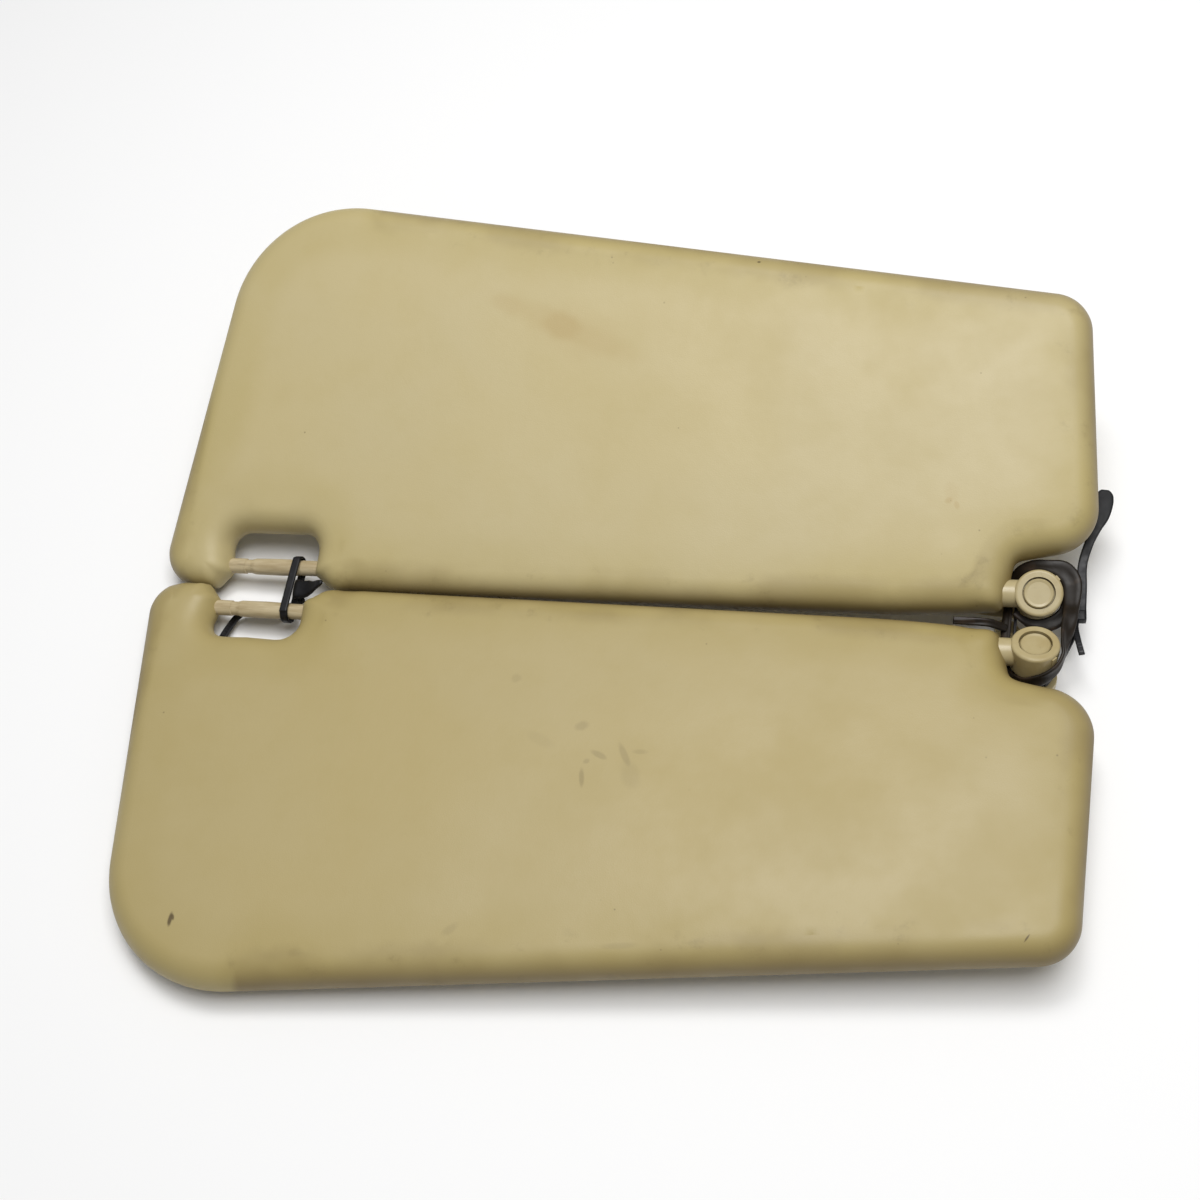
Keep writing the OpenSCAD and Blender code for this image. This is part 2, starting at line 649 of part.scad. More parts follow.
// Soft strap: a loop round both heads, a half turn that fills the space between them, and a loose
// end between the noses. Knots on a head are [angle, radius, height, lean outwards, width].
function knots_on(head, knots) =
    [for (k = knots)
        let (lean = polar(sin(k[3]), k[0], -cos(k[3])))
        head == "upper"
            ? [up_arm(polar(k[1], k[0], k[2])), up_arm(lean), k[4]]
            : [lo_arm(polar(k[1], k[0], k[2])), lo_dir(lean), k[4]]];
module head_strap() {
    // Centre line of the strap where it lies against a head
    hug = head_r + tie_gap + strap_t / 2;
    far_side = [[180, 10.9, -8.3, 45, 4], [150, 11.4, -7.6, 70, 4.2], [124, 12.3, -5.2, 85, 4.2],
        [98, 12.5, -3.2, 90, 4.4], [72, 12.8, -1.8, 90, 5], [46, 14.3, -1, 92, 8],
        [20, 14.3, 0, 96, 8]];
    right_side = [[[13.3, -5, 1.4], [1, 0, 0.1], 6.6], [[12.4, -12.5, 3], [1, 0, -0.1], 6]];
    flank = [[-14, hug + 1.3, 3.8, 30, 6], [14, hug + nub_out, 2, 0, 6],
        [40, hug + nub_out, -0.4, 0, 6], [65, hug + nub_out / 2, -2.9, 0, 6.2], [90, hug, -5.2, 0, 6.2], [114, hug, -7, 0, 5.4],
        [146, 10.9, -8.2, 25, 4.2], [180, 10.9, -8.3, 45, 4]];
    near_strand = [[[-12.4, -14, -8], [-1, 0, -0.35], 4]];
    half_turn = [[4, 12.4, -0.6, 90, 4.4], [-30, 13, -0.8, 90, 5.6], [-60, 13.2, -0.8, 90, 6],
        [-90, 13.2, -0.8, 90, 6], [-118, 13, -1.6, 88, 5.6], [-140, 12.6, -2.6, 80, 4.4]];
    loose_end = [[[-12.2, -12.5, -7.6], [0, 1, 0.2], 3.2], [[-15, -13.2, -4.4], [0, 1, 0.4], 3.4],
        [[-20, -13.4, -1.6], [0, 0.87, 0.49], 3.4], [[-27, -13.4, -1], [0, 0.87, 0.49], 3.4],
        [[-34, -13.3, -1], [0, 0.87, 0.49], 3]];
    color(BROWN) bundle() {
        band(concat(knots_on("upper", far_side), right_side, knots_on("lower", flank), near_strand),
            strap_t, true);
        band(knots_on("upper", half_turn), strap_t);
        band(loose_end, strap_t);
    }
}

// Cable tie round both bosses, with its lock to the right, a broad tail and a short stub
head_tie_h = 2.6;
head_tie_z = (boss_top + plate_top) / 2;
head_tie_r = boss_r + tie_gap + tie_t / 2;
module head_tie() {
    lock = [6, 6.5, 4];
    lock_at = [16.8, -5.2, -7];
    color(BLACK) bundle() {
        band(concat(
            [for (a = [84 : 32 : 180])
                [up_arm(polar(head_tie_r, a, head_tie_z)), UP_AXIS, head_tie_h]],
            [for (a = [180 : -30 : 30])
                [lo_arm(polar(head_tie_r, a, head_tie_z)), LO_AXIS, head_tie_h]],
            [[[14.2, -17, -8.6], [0, 0, 1], head_tie_h], [[16.4, -8, -7.4], [0, 0, 1], head_tie_h],
                [[16.8, 4, -6.8], [0, 0, 1], head_tie_h],
                [[11.6, 10.8, -6.8], [0, -0.3, 1], head_tie_h]]
        ), tie_t, true);
        translate(lock_at - lock / 2) cube(lock);
        band([
            [[17.6, -4, -5.6], [1, 0, 0], 4.2], [[17.9, 6, -3.6], [1, 0, 0], 4],
            [[18, 15.5, -1], [1, -0.1, 0], 3.8], [[20.4, 24.6, 1.2], [1, -0.4, 0], 3.8],
            [[23.2, 31.5, 2.4], [1, -0.45, 0], 4.4], [[25.6, 37.6, 2.8], [1, -0.35, 0], 6.2],
            [[26.6, 44, 3], [1, -0.1, 0], 7.6], [[27, 48.5, 3], [1, 0, 0], 6.6],
            [[27.2, 50.4, 3], [1, 0.1, 0], 3.4]
        ], tie_t);
        band([
            [[15.4, -7, -6.6], [1, 0, 0], 3], [[15.2, -13, -4.4], [1, 0, 0], 2.6],
            [[16, -20.5, -1.4], [1, 0, 0], 2.4], [[17.3, -27, -0.6], [1, 0, 0], 2.4]
        ], tie_t);
    }
}

// Cable tie round both clip bars, with its lock between them and its tail under the lower bar
bar_tie_x = slot_start + 10.4;
bar_tie_r = bar_r + bar_bulge + tie_gap + tie_t / 2;
// Height of the lower hinge line across the bundle, at the tie
bar_tie_low_y = -pivot_gap + sin(lower_yaw) * (bar_tie_x - pivot_offset);
module bar_tie() {
    color(BLACK) bundle() {
        band(concat(
            [for (a = [90 : -30 : -90])
                [[-bar_tie_x, bar_tie_r * cos(a), bar_tie_r * sin(a)], [1, 0, 0], bar_tie_w]],
            [for (a = [-90 : -30 : -270])
                [[-bar_tie_x, bar_tie_low_y + bar_tie_r * cos(a), bar_tie_r * sin(a)],
                    [1, 0, 0], bar_tie_w]]
        ), tie_t, true);
        translate([-bar_tie_x, bar_tie_low_y / 2, 0]) bar_tie_lock();
        translate([-bar_tie_x, bar_tie_low_y, 0]) band([
            [[4.5, 8.6, -3], [0.7, -0.7, 0], bar_tie_w], [[-1, 6, -5.6], [0.5, -0.85, 0], bar_tie_w],
            [[-10, 3.8, -6.2], [0.1, -1, 0], bar_tie_w], [[-21, 3, -6.4], [0.2, -1, 0], bar_tie_w],
            [[-26.2, 0.4, -6.8], [0.7, -0.7, 0], bar_tie_w],
            [[-29.6, -5, -7.6], [0.86, -0.5, 0], bar_tie_w],
            [[-32.4, -11.6, -8.4], [0.92, -0.38, 0], bar_tie_w]
        ], tie_t);
    }
}
// The lock and the folded end beside it, pinched between the two panels
module bar_tie_lock() {
    hull() {
        translate([1, 0, -0.6]) cube([0.4, 9.4, 5.6], center = true);
        translate([7, 0, 0.6]) cube([0.4, 8, 4.6], center = true);
    }
    hull() {
        translate([7, 0, 0.6]) cube([0.4, 8, 4.6], center = true);
        translate([16, 0, 7.4]) cube([0.4, 2.4, 2], center = true);
    }
}

// ---- Nodes ----
module upper_front_cover() { upper_visor() front_cover(); }
module upper_back_cover() { upper_visor() back_cover(); }
module upper_front_foam() { upper_visor() front_foam(); }
module upper_back_foam() { upper_visor() back_foam(); }
module upper_core_board() { upper_visor() core_board(); }
module upper_hinge_sleeve() { upper_visor() hinge_sleeve(); }
module upper_rod_bushes() { upper_visor() rod_bushes(); }
module upper_friction_spring() { upper_visor() friction_spring(); }
module upper_bar_sockets() { upper_visor() bar_sockets(); }
module upper_clip_bar() { upper_visor() clip_bar(); }
module upper_rivets() { upper_visor() rivets(); }
module upper_rod() { upper_arm() rod(); }
module upper_rod_clip() { upper_arm() rod_clip(); }
module upper_elbow() { upper_arm() elbow(); }
module upper_head_cap() { upper_arm() head_cap(); }
module upper_base_plate() { upper_arm() rotate(upper_base_turn) base_plate(); }
module upper_pivot_pin() { upper_arm() pivot_pin(); }
module upper_spring_washer() { upper_arm() spring_washer(); }
module lower_front_cover() { lower_visor() front_cover(); }
module lower_back_cover() { lower_visor() back_cover(); }
module lower_front_foam() { lower_visor() front_foam(); }
module lower_back_foam() { lower_visor() back_foam(); }
module lower_core_board() { lower_visor() core_board(); }
module lower_hinge_sleeve() { lower_visor() hinge_sleeve(); }
module lower_rod_bushes() { lower_visor() rod_bushes(); }
module lower_friction_spring() { lower_visor() friction_spring(); }
module lower_bar_sockets() { lower_visor() bar_sockets(); }
module lower_clip_bar() { lower_visor() clip_bar(); }
module lower_rivets() { lower_visor() rivets(); }
module lower_rod() { lower_arm() rod(); }
module lower_rod_clip() { lower_arm() rod_clip(); }
module lower_elbow() { lower_arm() elbow(); }
module lower_head_cap() { lower_arm() head_cap(); }
module lower_base_plate() { lower_arm() rotate(lower_base_turn) base_plate(); }
module lower_pivot_pin() { lower_arm() pivot_pin(); }
module lower_spring_washer() { lower_arm() spring_washer(); }

// Drawn by name
upper_front_cover();
upper_back_cover();
upper_front_foam();
upper_back_foam();
upper_core_board();
upper_hinge_sleeve();
upper_rod_bushes();
upper_friction_spring();
upper_bar_sockets();
upper_clip_bar();
upper_rivets();
upper_rod();
upper_rod_clip();
upper_elbow();
upper_head_cap();
upper_base_plate();
upper_pivot_pin();
upper_spring_washer();
lower_front_cover();
lower_back_cover();
lower_front_foam();
lower_back_foam();
lower_core_board();
lower_hinge_sleeve();
lower_rod_bushes();
lower_friction_spring();
lower_bar_sockets();
lower_clip_bar();
lower_rivets();
lower_rod();
lower_rod_clip();
lower_elbow();
lower_head_cap();
lower_base_plate();
lower_pivot_pin();
lower_spring_washer();
head_strap();
head_tie();
bar_tie();
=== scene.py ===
"""Looks of a pair of sun visors, laid hinge edge to hinge edge and tied together.

The CAD frame gives every rigid piece. This script adds the vinyl skins, the ties and the strap,
all materials, the camera, the floor and the light. Lengths are in metres unless a name ends in
_MM, and the panels, ties and strap are drawn in millimetres in their own frames.
"""
import json
import math

import bmesh
import bpy
from mathutils import Matrix, Vector, noise
from mathutils.bvhtree import BVHTree
from mathutils.geometry import delaunay_2d_cdt
from mathutils.kdtree import KDTree


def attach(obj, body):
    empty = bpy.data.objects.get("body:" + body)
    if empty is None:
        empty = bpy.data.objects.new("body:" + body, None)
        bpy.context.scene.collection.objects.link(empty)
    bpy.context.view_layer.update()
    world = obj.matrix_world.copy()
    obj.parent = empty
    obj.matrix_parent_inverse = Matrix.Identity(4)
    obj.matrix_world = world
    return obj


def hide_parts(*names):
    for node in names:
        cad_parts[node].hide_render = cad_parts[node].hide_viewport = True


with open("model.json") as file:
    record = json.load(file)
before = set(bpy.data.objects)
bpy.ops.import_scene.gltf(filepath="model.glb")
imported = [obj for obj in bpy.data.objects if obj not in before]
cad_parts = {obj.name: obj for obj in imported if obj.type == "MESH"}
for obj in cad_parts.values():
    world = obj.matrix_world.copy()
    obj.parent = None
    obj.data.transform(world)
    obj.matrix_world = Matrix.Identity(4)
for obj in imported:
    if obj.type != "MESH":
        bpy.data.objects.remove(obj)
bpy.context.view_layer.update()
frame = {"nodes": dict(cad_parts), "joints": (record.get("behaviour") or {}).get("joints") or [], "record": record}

MM = 0.001

# ---- Image points, in the 1200 by 1200 frame ----
FRAME_SIDE = 1200
POINTS = {
    "left_edge": (112, None),
    "right_edge": (1113, None),
    "top_edge": (None, 211),
    "bottom_edge": (None, 990),
    "upper_cap": (1037.8, 594.4),
    "lower_cap": (1033.9, 645.2),
    "upper_bar": (279, 567),
    "lower_bar": (256, 608.6),
    "bar_tie_tail": (225.6, 633),
    "head_tie_paddle": (1113, 499),
    "head_tie_stub": (1082, 655.7),
    "yellow_stain": (562, 326),
    "pale_stain": (952, 502),
    "edge_dot": (759, 262),
    "corner_scuff": (170, 919),
    "thin_mark": (1027, 938),
    "hand_smudge": (613, 757),
    "small_smudge": (517, 678),
    "low_smudge": (450, 929),
}

# ---- Camera ----
CAMERA_AT = Vector((0.11781, -0.32880, 0.61497))
CAMERA_AIM = Vector((-0.00551, 0.00974, 0.01240))
CAMERA_ROLL = math.radians(-14.13)
LENS = 48.0
SENSOR = 36.0


def make_camera():
    """The camera of the photo: its place was fitted to the named points."""
    data = bpy.data.cameras.new("camera")
    data.lens = LENS
    data.sensor_width = SENSOR
    data.sensor_fit = "AUTO"
    camera = bpy.data.objects.new("camera", data)
    bpy.context.scene.collection.objects.link(camera)
    look = (CAMERA_AIM - CAMERA_AT).to_track_quat("-Z", "Y")
    camera.matrix_world = Matrix.Translation(CAMERA_AT) @ look.to_matrix().to_4x4() @ Matrix.Rotation(
        CAMERA_ROLL, 4, "Z"
    )
    bpy.context.scene.camera = camera
    return camera


CAMERA = make_camera()
CAMERA_AXES = CAMERA.matrix_world.to_3x3()
CAMERA_SPOT = CAMERA.matrix_world.translation.copy()
PICTURE_TURN = math.atan2(CAMERA_AXES[1][0], CAMERA_AXES[0][0])
PICTURE_RIGHT = Vector((math.cos(PICTURE_TURN), math.sin(PICTURE_TURN), 0))
PICTURE_UP = Vector((-math.sin(PICTURE_TURN), math.cos(PICTURE_TURN), 0))


def sight(x, y):
    """Unit direction of the ray through an image point."""
    ray = Vector((x - FRAME_SIDE / 2, FRAME_SIDE / 2 - y, -FRAME_SIDE * LENS / SENSOR))
    return (CAMERA_AXES @ ray).normalized()


def seen_at(p):
    """Image point of a place."""
    q = CAMERA_AXES.transposed() @ (p - CAMERA_SPOT)
    scale = FRAME_SIDE * LENS / SENSOR / -q.z
    return (FRAME_SIDE / 2 + q.x * scale, FRAME_SIDE / 2 - q.y * scale)


def place_on(carrier, name):
    """Where the ray through a named image point meets a finished piece, or its place nearest the ray."""
    direction = sight(*POINTS[name])
    tree = BVHTree.FromPolygons(
        [v.co for v in carrier.data.vertices], [p.vertices[:] for p in carrier.data.polygons]
    )
    hit = tree.ray_cast(CAMERA_SPOT, direction)[0]
    if hit is not None:
        return hit

    def off_ray(v):
        along = (v.co - CAMERA_SPOT).dot(direction)
        return (v.co - CAMERA_SPOT - direction * along).length

    return min(carrier.data.vertices, key=off_ray).co.copy()


# ---- Frames of the panels and of the pivot arms, as in the CAD model ----
UPPER_LIFT = math.radians(20.3)
UPPER_ARM_TURN = math.radians(5)
LOWER_ARM_TURN = math.radians(14.2)
PIVOT_GAP_MM = 27.8
PIVOT_OFFSET_MM = 1.3
LOWER_YAW = math.radians(0.9)
JOINTS = {j["name"]: j for j in frame["joints"]}


def basis(x, y, z, origin):
    """A frame with these axes, whose places are given in millimetres."""
    m = Matrix((x, y, z)).transposed().to_4x4()
    m.translation = origin
    return m @ Matrix.Scale(MM, 4)


def bundle_frame():
    """Origin on the upper hinge, x along it towards the pivots and z upwards."""
    hinge = JOINTS["upper_hinge"]
    x = Vector(hinge["axis"]).normalized()
    y = Vector((0, 1, 0))
    return basis(x, y, x.cross(y), Vector(hinge["pos_m"]))


BUNDLE = bundle_frame()
UPPER_PANEL = BUNDLE @ Matrix.Rotation(UPPER_LIFT, 4, "X")
LOWER_PANEL = (
    BUNDLE
    @ Matrix.Translation((-PIVOT_OFFSET_MM, -PIVOT_GAP_MM, 0))
    @ Matrix.Rotation(-LOWER_YAW, 4, "Z")
    @ Matrix.Scale(-1, 4, (0, 1, 0))
)


# ---- Meshes ----
def new_piece(name, points, faces, material, body):
    """A smooth-shaded object that rides a body of the frame."""
    mesh = bpy.data.meshes.new(name)
    mesh.from_pydata([tuple(p) for p in points], [], faces)
    mesh.update()
    mesh.polygons.foreach_set("use_smooth", [True] * len(mesh.polygons))
    mesh.materials.append(material)
    piece = bpy.data.objects.new(name, mesh)
    bpy.context.scene.collection.objects.link(piece)
    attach(piece, body)
    return piece


def outward(piece):
    """Turns the faces outwards, which a mirrored frame turns in."""
    work = bmesh.new()
    work.from_mesh(piece.data)
    bmesh.ops.recalc_face_normals(work, faces=work.faces)
    work.to_mesh(piece.data)
    work.free()


# ---- Outline of a panel, in millimetres: x along the hinge, y away from it ----
NOSE_R = 10.8
CLIP_EDGE_REACH = 390.5
CLIP_EDGE_SLOPE = math.tan(math.radians(9.1))
PIVOT_EDGE_REACH = 25.3
PIVOT_EDGE_SLOPE = math.tan(math.radians(3))
FAR_EDGE_DEPTH = 130.3
FAR_EDGE_SLOPE = math.tan(math.radians(7.7))
SLOT_MARGIN = 31
SLOT_LENGTH = 43.9
SLOT_END = CLIP_EDGE_REACH - SLOT_MARGIN
SLOT_START = SLOT_END - SLOT_LENGTH
SLOT_DEPTH = 15.7
NECK_STEP = 1.9
NECK_V = 3.2
CLIP_LIP = 6.9
PIVOT_LIP = 10.4
BOW_X = 47.5
BOW_R = 560
MOUTH_X = 14.2
MOUTH_DROP = 2.8
NOTCH_CORNER_X = 9.5
NOTCH_DEPTH = 13.4
NOTCH_SLOPE = math.tan(math.radians(11.4))


def panel_corners():
    """Each corner is (x, y, radius), counter-clockwise."""
    far_clip_y = (FAR_EDGE_DEPTH + FAR_EDGE_SLOPE * CLIP_EDGE_REACH) / (
        1 + FAR_EDGE_SLOPE * CLIP_EDGE_SLOPE
    )
    far_pivot_y = (FAR_EDGE_DEPTH - FAR_EDGE_SLOPE * PIVOT_EDGE_REACH) / (
        1 - FAR_EDGE_SLOPE * PIVOT_EDGE_SLOPE
    )
    notch_outer_y = NOTCH_DEPTH + NOTCH_SLOPE * (NOTCH_CORNER_X + PIVOT_EDGE_REACH)
    return [
        (-CLIP_EDGE_REACH - CLIP_EDGE_SLOPE * NOSE_R, -NOSE_R, 16),
        (-SLOT_END + NECK_STEP - CLIP_LIP, -NOSE_R, 3),
        (-SLOT_END + NECK_STEP, -NECK_V, 3),
        (-SLOT_END, SLOT_DEPTH, 8),
        (-SLOT_START, SLOT_DEPTH, 8),
        (-SLOT_START - NECK_STEP, -NECK_V, 3),
        (-SLOT_START - NECK_STEP + PIVOT_LIP, -NOSE_R, 9),
        (-BOW_X, -NOSE_R, BOW_R),
        (-MOUTH_X, -NOSE_R + MOUTH_DROP, 4),
        (-NOTCH_CORNER_X, NOTCH_DEPTH, 5),
        (PIVOT_EDGE_REACH - PIVOT_EDGE_SLOPE * notch_outer_y, notch_outer_y, 20),
        (PIVOT_EDGE_REACH - PIVOT_EDGE_SLOPE * far_pivot_y, far_pivot_y, 17.5),
        (-(CLIP_EDGE_REACH - CLIP_EDGE_SLOPE * far_clip_y), far_clip_y, 56.5),
    ]


CORNERS = [(Vector((x, y)), r) for x, y, r in panel_corners()]
LEAST_CORNER_R = 0.4
ARC_STEPS = 3.2  # steps of an arc per radian and per square root of its radius


def outline(inset):
    """The outline moved inwards by inset, with every corner as an arc."""
    points = []
    for i, (tip, radius) in enumerate(CORNERS):
        before = (tip - CORNERS[i - 1][0]).normalized()
        after = (CORNERS[(i + 1) % len(CORNERS)][0] - tip).normalized()
        turn = math.atan2(before.cross(after), before.dot(after))
        side = 1 if turn > 0 else -1
        n0 = Vector((-before.y, before.x))
        n1 = Vector((-after.y, after.x))
        inner = tip + (n0 + n1) / (1 + n0.dot(n1)) * inset
        r = max(radius - side * inset, LEAST_CORNER_R)
        start = inner - before * r * math.tan(abs(turn) / 2)
        centre = start + n0 * side * r
        steps = max(4, round(abs(turn) * math.sqrt(radius) * ARC_STEPS))
        for k in range(steps + 1):
            a = turn * k / steps
            d = start - centre
            points.append(centre + Vector((d.x * math.cos(a) - d.y * math.sin(a),
                                           d.x * math.sin(a) + d.y * math.cos(a))))
    return points


# ---- Vinyl skins ----
RIM_STEPS = 9
RIM_SPAN_MM = 8
GRID_MM = 5.0
ROW_STEP = 0.866  # rows of the grid, in columns: equal-sided triangles
GRID_CLEAR = 0.6  # least distance of a grid point from the rim, in columns
CROWN_MM = 0.8
CROWN_REACH_MM = 55.0
DENT_MM = 0.35
DENT_SIZE_MM = 55.0
DENT_FADE_MM = 15
FLAT_BACK_MM = 60.0  # the back is flat from the pivot to here
BACK_FADE_MM = 50
SOFT_REACH_MM = 17.0  # round each tight corner
SOFT_FADE_MM = 7
SOFT_LEAST_Z = 2  # the widest line of the rim stays where it is
SOFT_FADE_Z = 5
SOFT_ROUNDS = 40
SINK_MM = 0.4  # deeper, the foam would show
SLOT_EDGE_MM = 5
SPARE_REACH_MM = 16.0  # round the clip slot
SPARE_FADE_MM = 10
SPARE_BACK_MM = 6  # the rim's lower part keeps its painted shade and grime
SPARE_DEPTH_MM = 10.0


def rim_rings():
    """Rings of the rounded edge from the back face to the front one, all with as many points."""
    base = outline(0)
    spans = [
        max(1, math.ceil((base[(i + 1) % len(base)] - p).length / RIM_SPAN_MM)) for i, p in enumerate(base)
    ]
    rings = []
    for k in range(-RIM_STEPS, RIM_STEPS + 1):
        a = math.pi / 2 * k / RIM_STEPS
        line = outline(NOSE_R * (1 - math.cos(a)))
        ring = []
        for i, p in enumerate(line):
            q = line[(i + 1) % len(line)]
            ring += [p.lerp(q, j / spans[i]) for j in range(spans[i])]
        rings.append([Vector((p.x, p.y, NOSE_R * math.sin(a))) for p in ring])
    return rings


def face_grid(ring):
    """Points and triangles that fill a ring's flat face, and each point's distance from the ring."""
    edge = KDTree(len(ring))
    for i, p in enumerate(ring):
        edge.insert((p.x, p.y, 0), i)
    edge.balance()
    flat = [Vector((p.x, p.y)) for p in ring]
    xs = [p.x for p in flat]
    ys = [p.y for p in flat]
    rows = math.ceil((max(ys) - min(ys)) / (GRID_MM * ROW_STEP))
    columns = math.ceil((max(xs) - min(xs)) / GRID_MM)
    for j in range(rows):
        for i in range(columns):
            p = Vector((min(xs) + (i + 0.5 * (j % 2)) * GRID_MM, min(ys) + j * GRID_MM * ROW_STEP))
            if edge.find((p.x, p.y, 0))[2] > GRID_MM * GRID_CLEAR:
                flat.append(p)
    n = len(ring)
    points, _, faces, _, _, _ = delaunay_2d_cdt(flat, [], [list(range(n))], 1, 1e-6)
    if len(points) < n or any((points[i] - flat[i]).length > 1e-4 for i in range(n)):
        raise RuntimeError("the face's edge points moved while it was filled")
    used = set(range(n)).union(*faces)
    order = {old: new for new, old in enumerate(sorted(used))}
    points = [points[i] for i in sorted(used)]
    faces = [[order[i] for i in face] for face in faces]
    depth = [edge.find((p.x, p.y, 0))[2] for p in points]
    return points, faces, depth


def swell(x, y, side, depth, seed):
    """How far the padded face stands out of the flat one, in millimetres.

    The back stays flat at the pivot end, where the base plate swings under it."""
    part = min(depth / CROWN_REACH_MM, 1)
    soft = noise.noise(Vector((x / DENT_SIZE_MM, y / DENT_SIZE_MM, seed + side)))
    fade = min(depth / DENT_FADE_MM, 1)
    free = 1 if side > 0 else min(max((-x - FLAT_BACK_MM) / BACK_FADE_MM, 0), 1)
    return free * (CROWN_MM * (1 - (1 - part) ** 2) + DENT_MM * soft * fade)


def soften(points, faces):
    """Draws the skin smoothly over the tight corners, where the rounded edge would leave a ridge.

    It never sinks deeper than SINK_MM below the place it started from."""
    tight = [tip for tip, radius in CORNERS if radius < NOSE_R]
    near = {}
    for i, p in enumerate(points):
        far = min((Vector((p.x, p.y)) - tip).length for tip in tight)
        if far < SOFT_REACH_MM and abs(p.z) > SOFT_LEAST_Z:
            near[i] = min(1, (SOFT_REACH_MM - far) / SOFT_FADE_MM)
            near[i] *= min(1, (abs(p.z) - SOFT_LEAST_Z) / SOFT_FADE_Z)
    beside = {i: set() for i in near}
    upright = {i: Vector() for i in near}
    for face in faces:
        turn = (points[face[1]] - points[face[0]]).cross(points[face[2]] - points[face[0]])
        for k, i in enumerate(face):
            if i in near:
                beside[i].update((face[k - 1], face[(k + 1) % len(face)]))
                upright[i] += turn if turn.z * points[i].z > 0 else -turn
    first = {i: (points[i].copy(), upright[i].normalized()) for i in near}
    order = {i: sorted(others) for i, others in beside.items()}
    for _ in range(SOFT_ROUNDS):
        moved = {}
        for i, part in near.items():
            middle_point = sum((points[k] for k in order[i]), Vector()) / len(order[i])
            moved[i] = points[i].lerp(middle_point, 0.5 * part)
        for i, p in moved.items():
            start, out = first[i]
            sunk = (start - p).dot(out)
            points[i] = p + out * max(sunk - SINK_MM, 0)


def spare_slot_edge(points, depths):
    """Raises the depths round the clip slot, so that no painted rim shade or grime is drawn on its edge."""
    tips = [tip for tip, _ in CORNERS if SLOT_START - SLOT_EDGE_MM < -tip.x < SLOT_END + SLOT_EDGE_MM]
    low_x, high_x = min(t.x for t in tips), max(t.x for t in tips)
    low_y, high_y = min(t.y for t in tips), max(t.y for t in tips)
    for i, p in enumerate(points):
        far = math.hypot(max(low_x - p.x, 0, p.x - high_x), max(low_y - p.y, 0, p.y - high_y))
        spared = min(max((SPARE_REACH_MM - far) / SPARE_FADE_MM, 0), 1)
        spared *= min(max((p.z + SPARE_BACK_MM) / SPARE_BACK_MM, 0), 1)
        depths[i] = max(depths[i], depths[i] + spared * (SPARE_DEPTH_MM - depths[i]))


def skin(name, panel, body, nodes, material, seed):
    """The closed vinyl cover of one panel: rounded rim, front face and back face."""
    rings = rim_rings()
    n = len(rings[0])
    points = [p for ring in rings for p in ring]
    arc_mm = math.pi / 2 * NOSE_R / RIM_STEPS
    # How far in from the rim's inner line a point lies: below zero on the rounded rim itself.
    depths = [(abs(j) - RIM_STEPS) * arc_mm for j in range(-RIM_STEPS, RIM_STEPS + 1) for _ in range(n)]
    faces = [
        (j * n + k, j * n + (k + 1) % n, (j + 1) * n + (k + 1) % n, (j + 1) * n + k)
        for j in range(len(rings) - 1)
        for k in range(n)
    ]
    flat, triangles, depth = face_grid(rings[-1])
    for side, ring_start in ((-1, 0), (1, (len(rings) - 1) * n)):
        offset = len(points) - n
        for p, d in list(zip(flat, depth))[n:]:
            points.append(Vector((p.x, p.y, side * (NOSE_R + swell(p.x, p.y, side, d, seed)))))
            depths.append(d)
        for t in triangles:
            own = [ring_start + i if i < n else offset + i for i in t]
            faces.append(tuple(own if side > 0 else reversed(own)))
    soften(points, faces)
    spare_slot_edge(points, depths)
    piece = new_piece(name, [panel @ p for p in points], faces, material, body)
    outward(piece)
    inner = piece.data.attributes.new("depth", "FLOAT", "POINT")
    inner.data.foreach_set("value", depths)
    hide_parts(*nodes)
    return piece


# ---- Materials ----
SPOT_GRAIN = 0.7  # waves of a spot's edge, per half size
SPOT_RAGGED = 0.35
SPOT_SOFT = 0.6


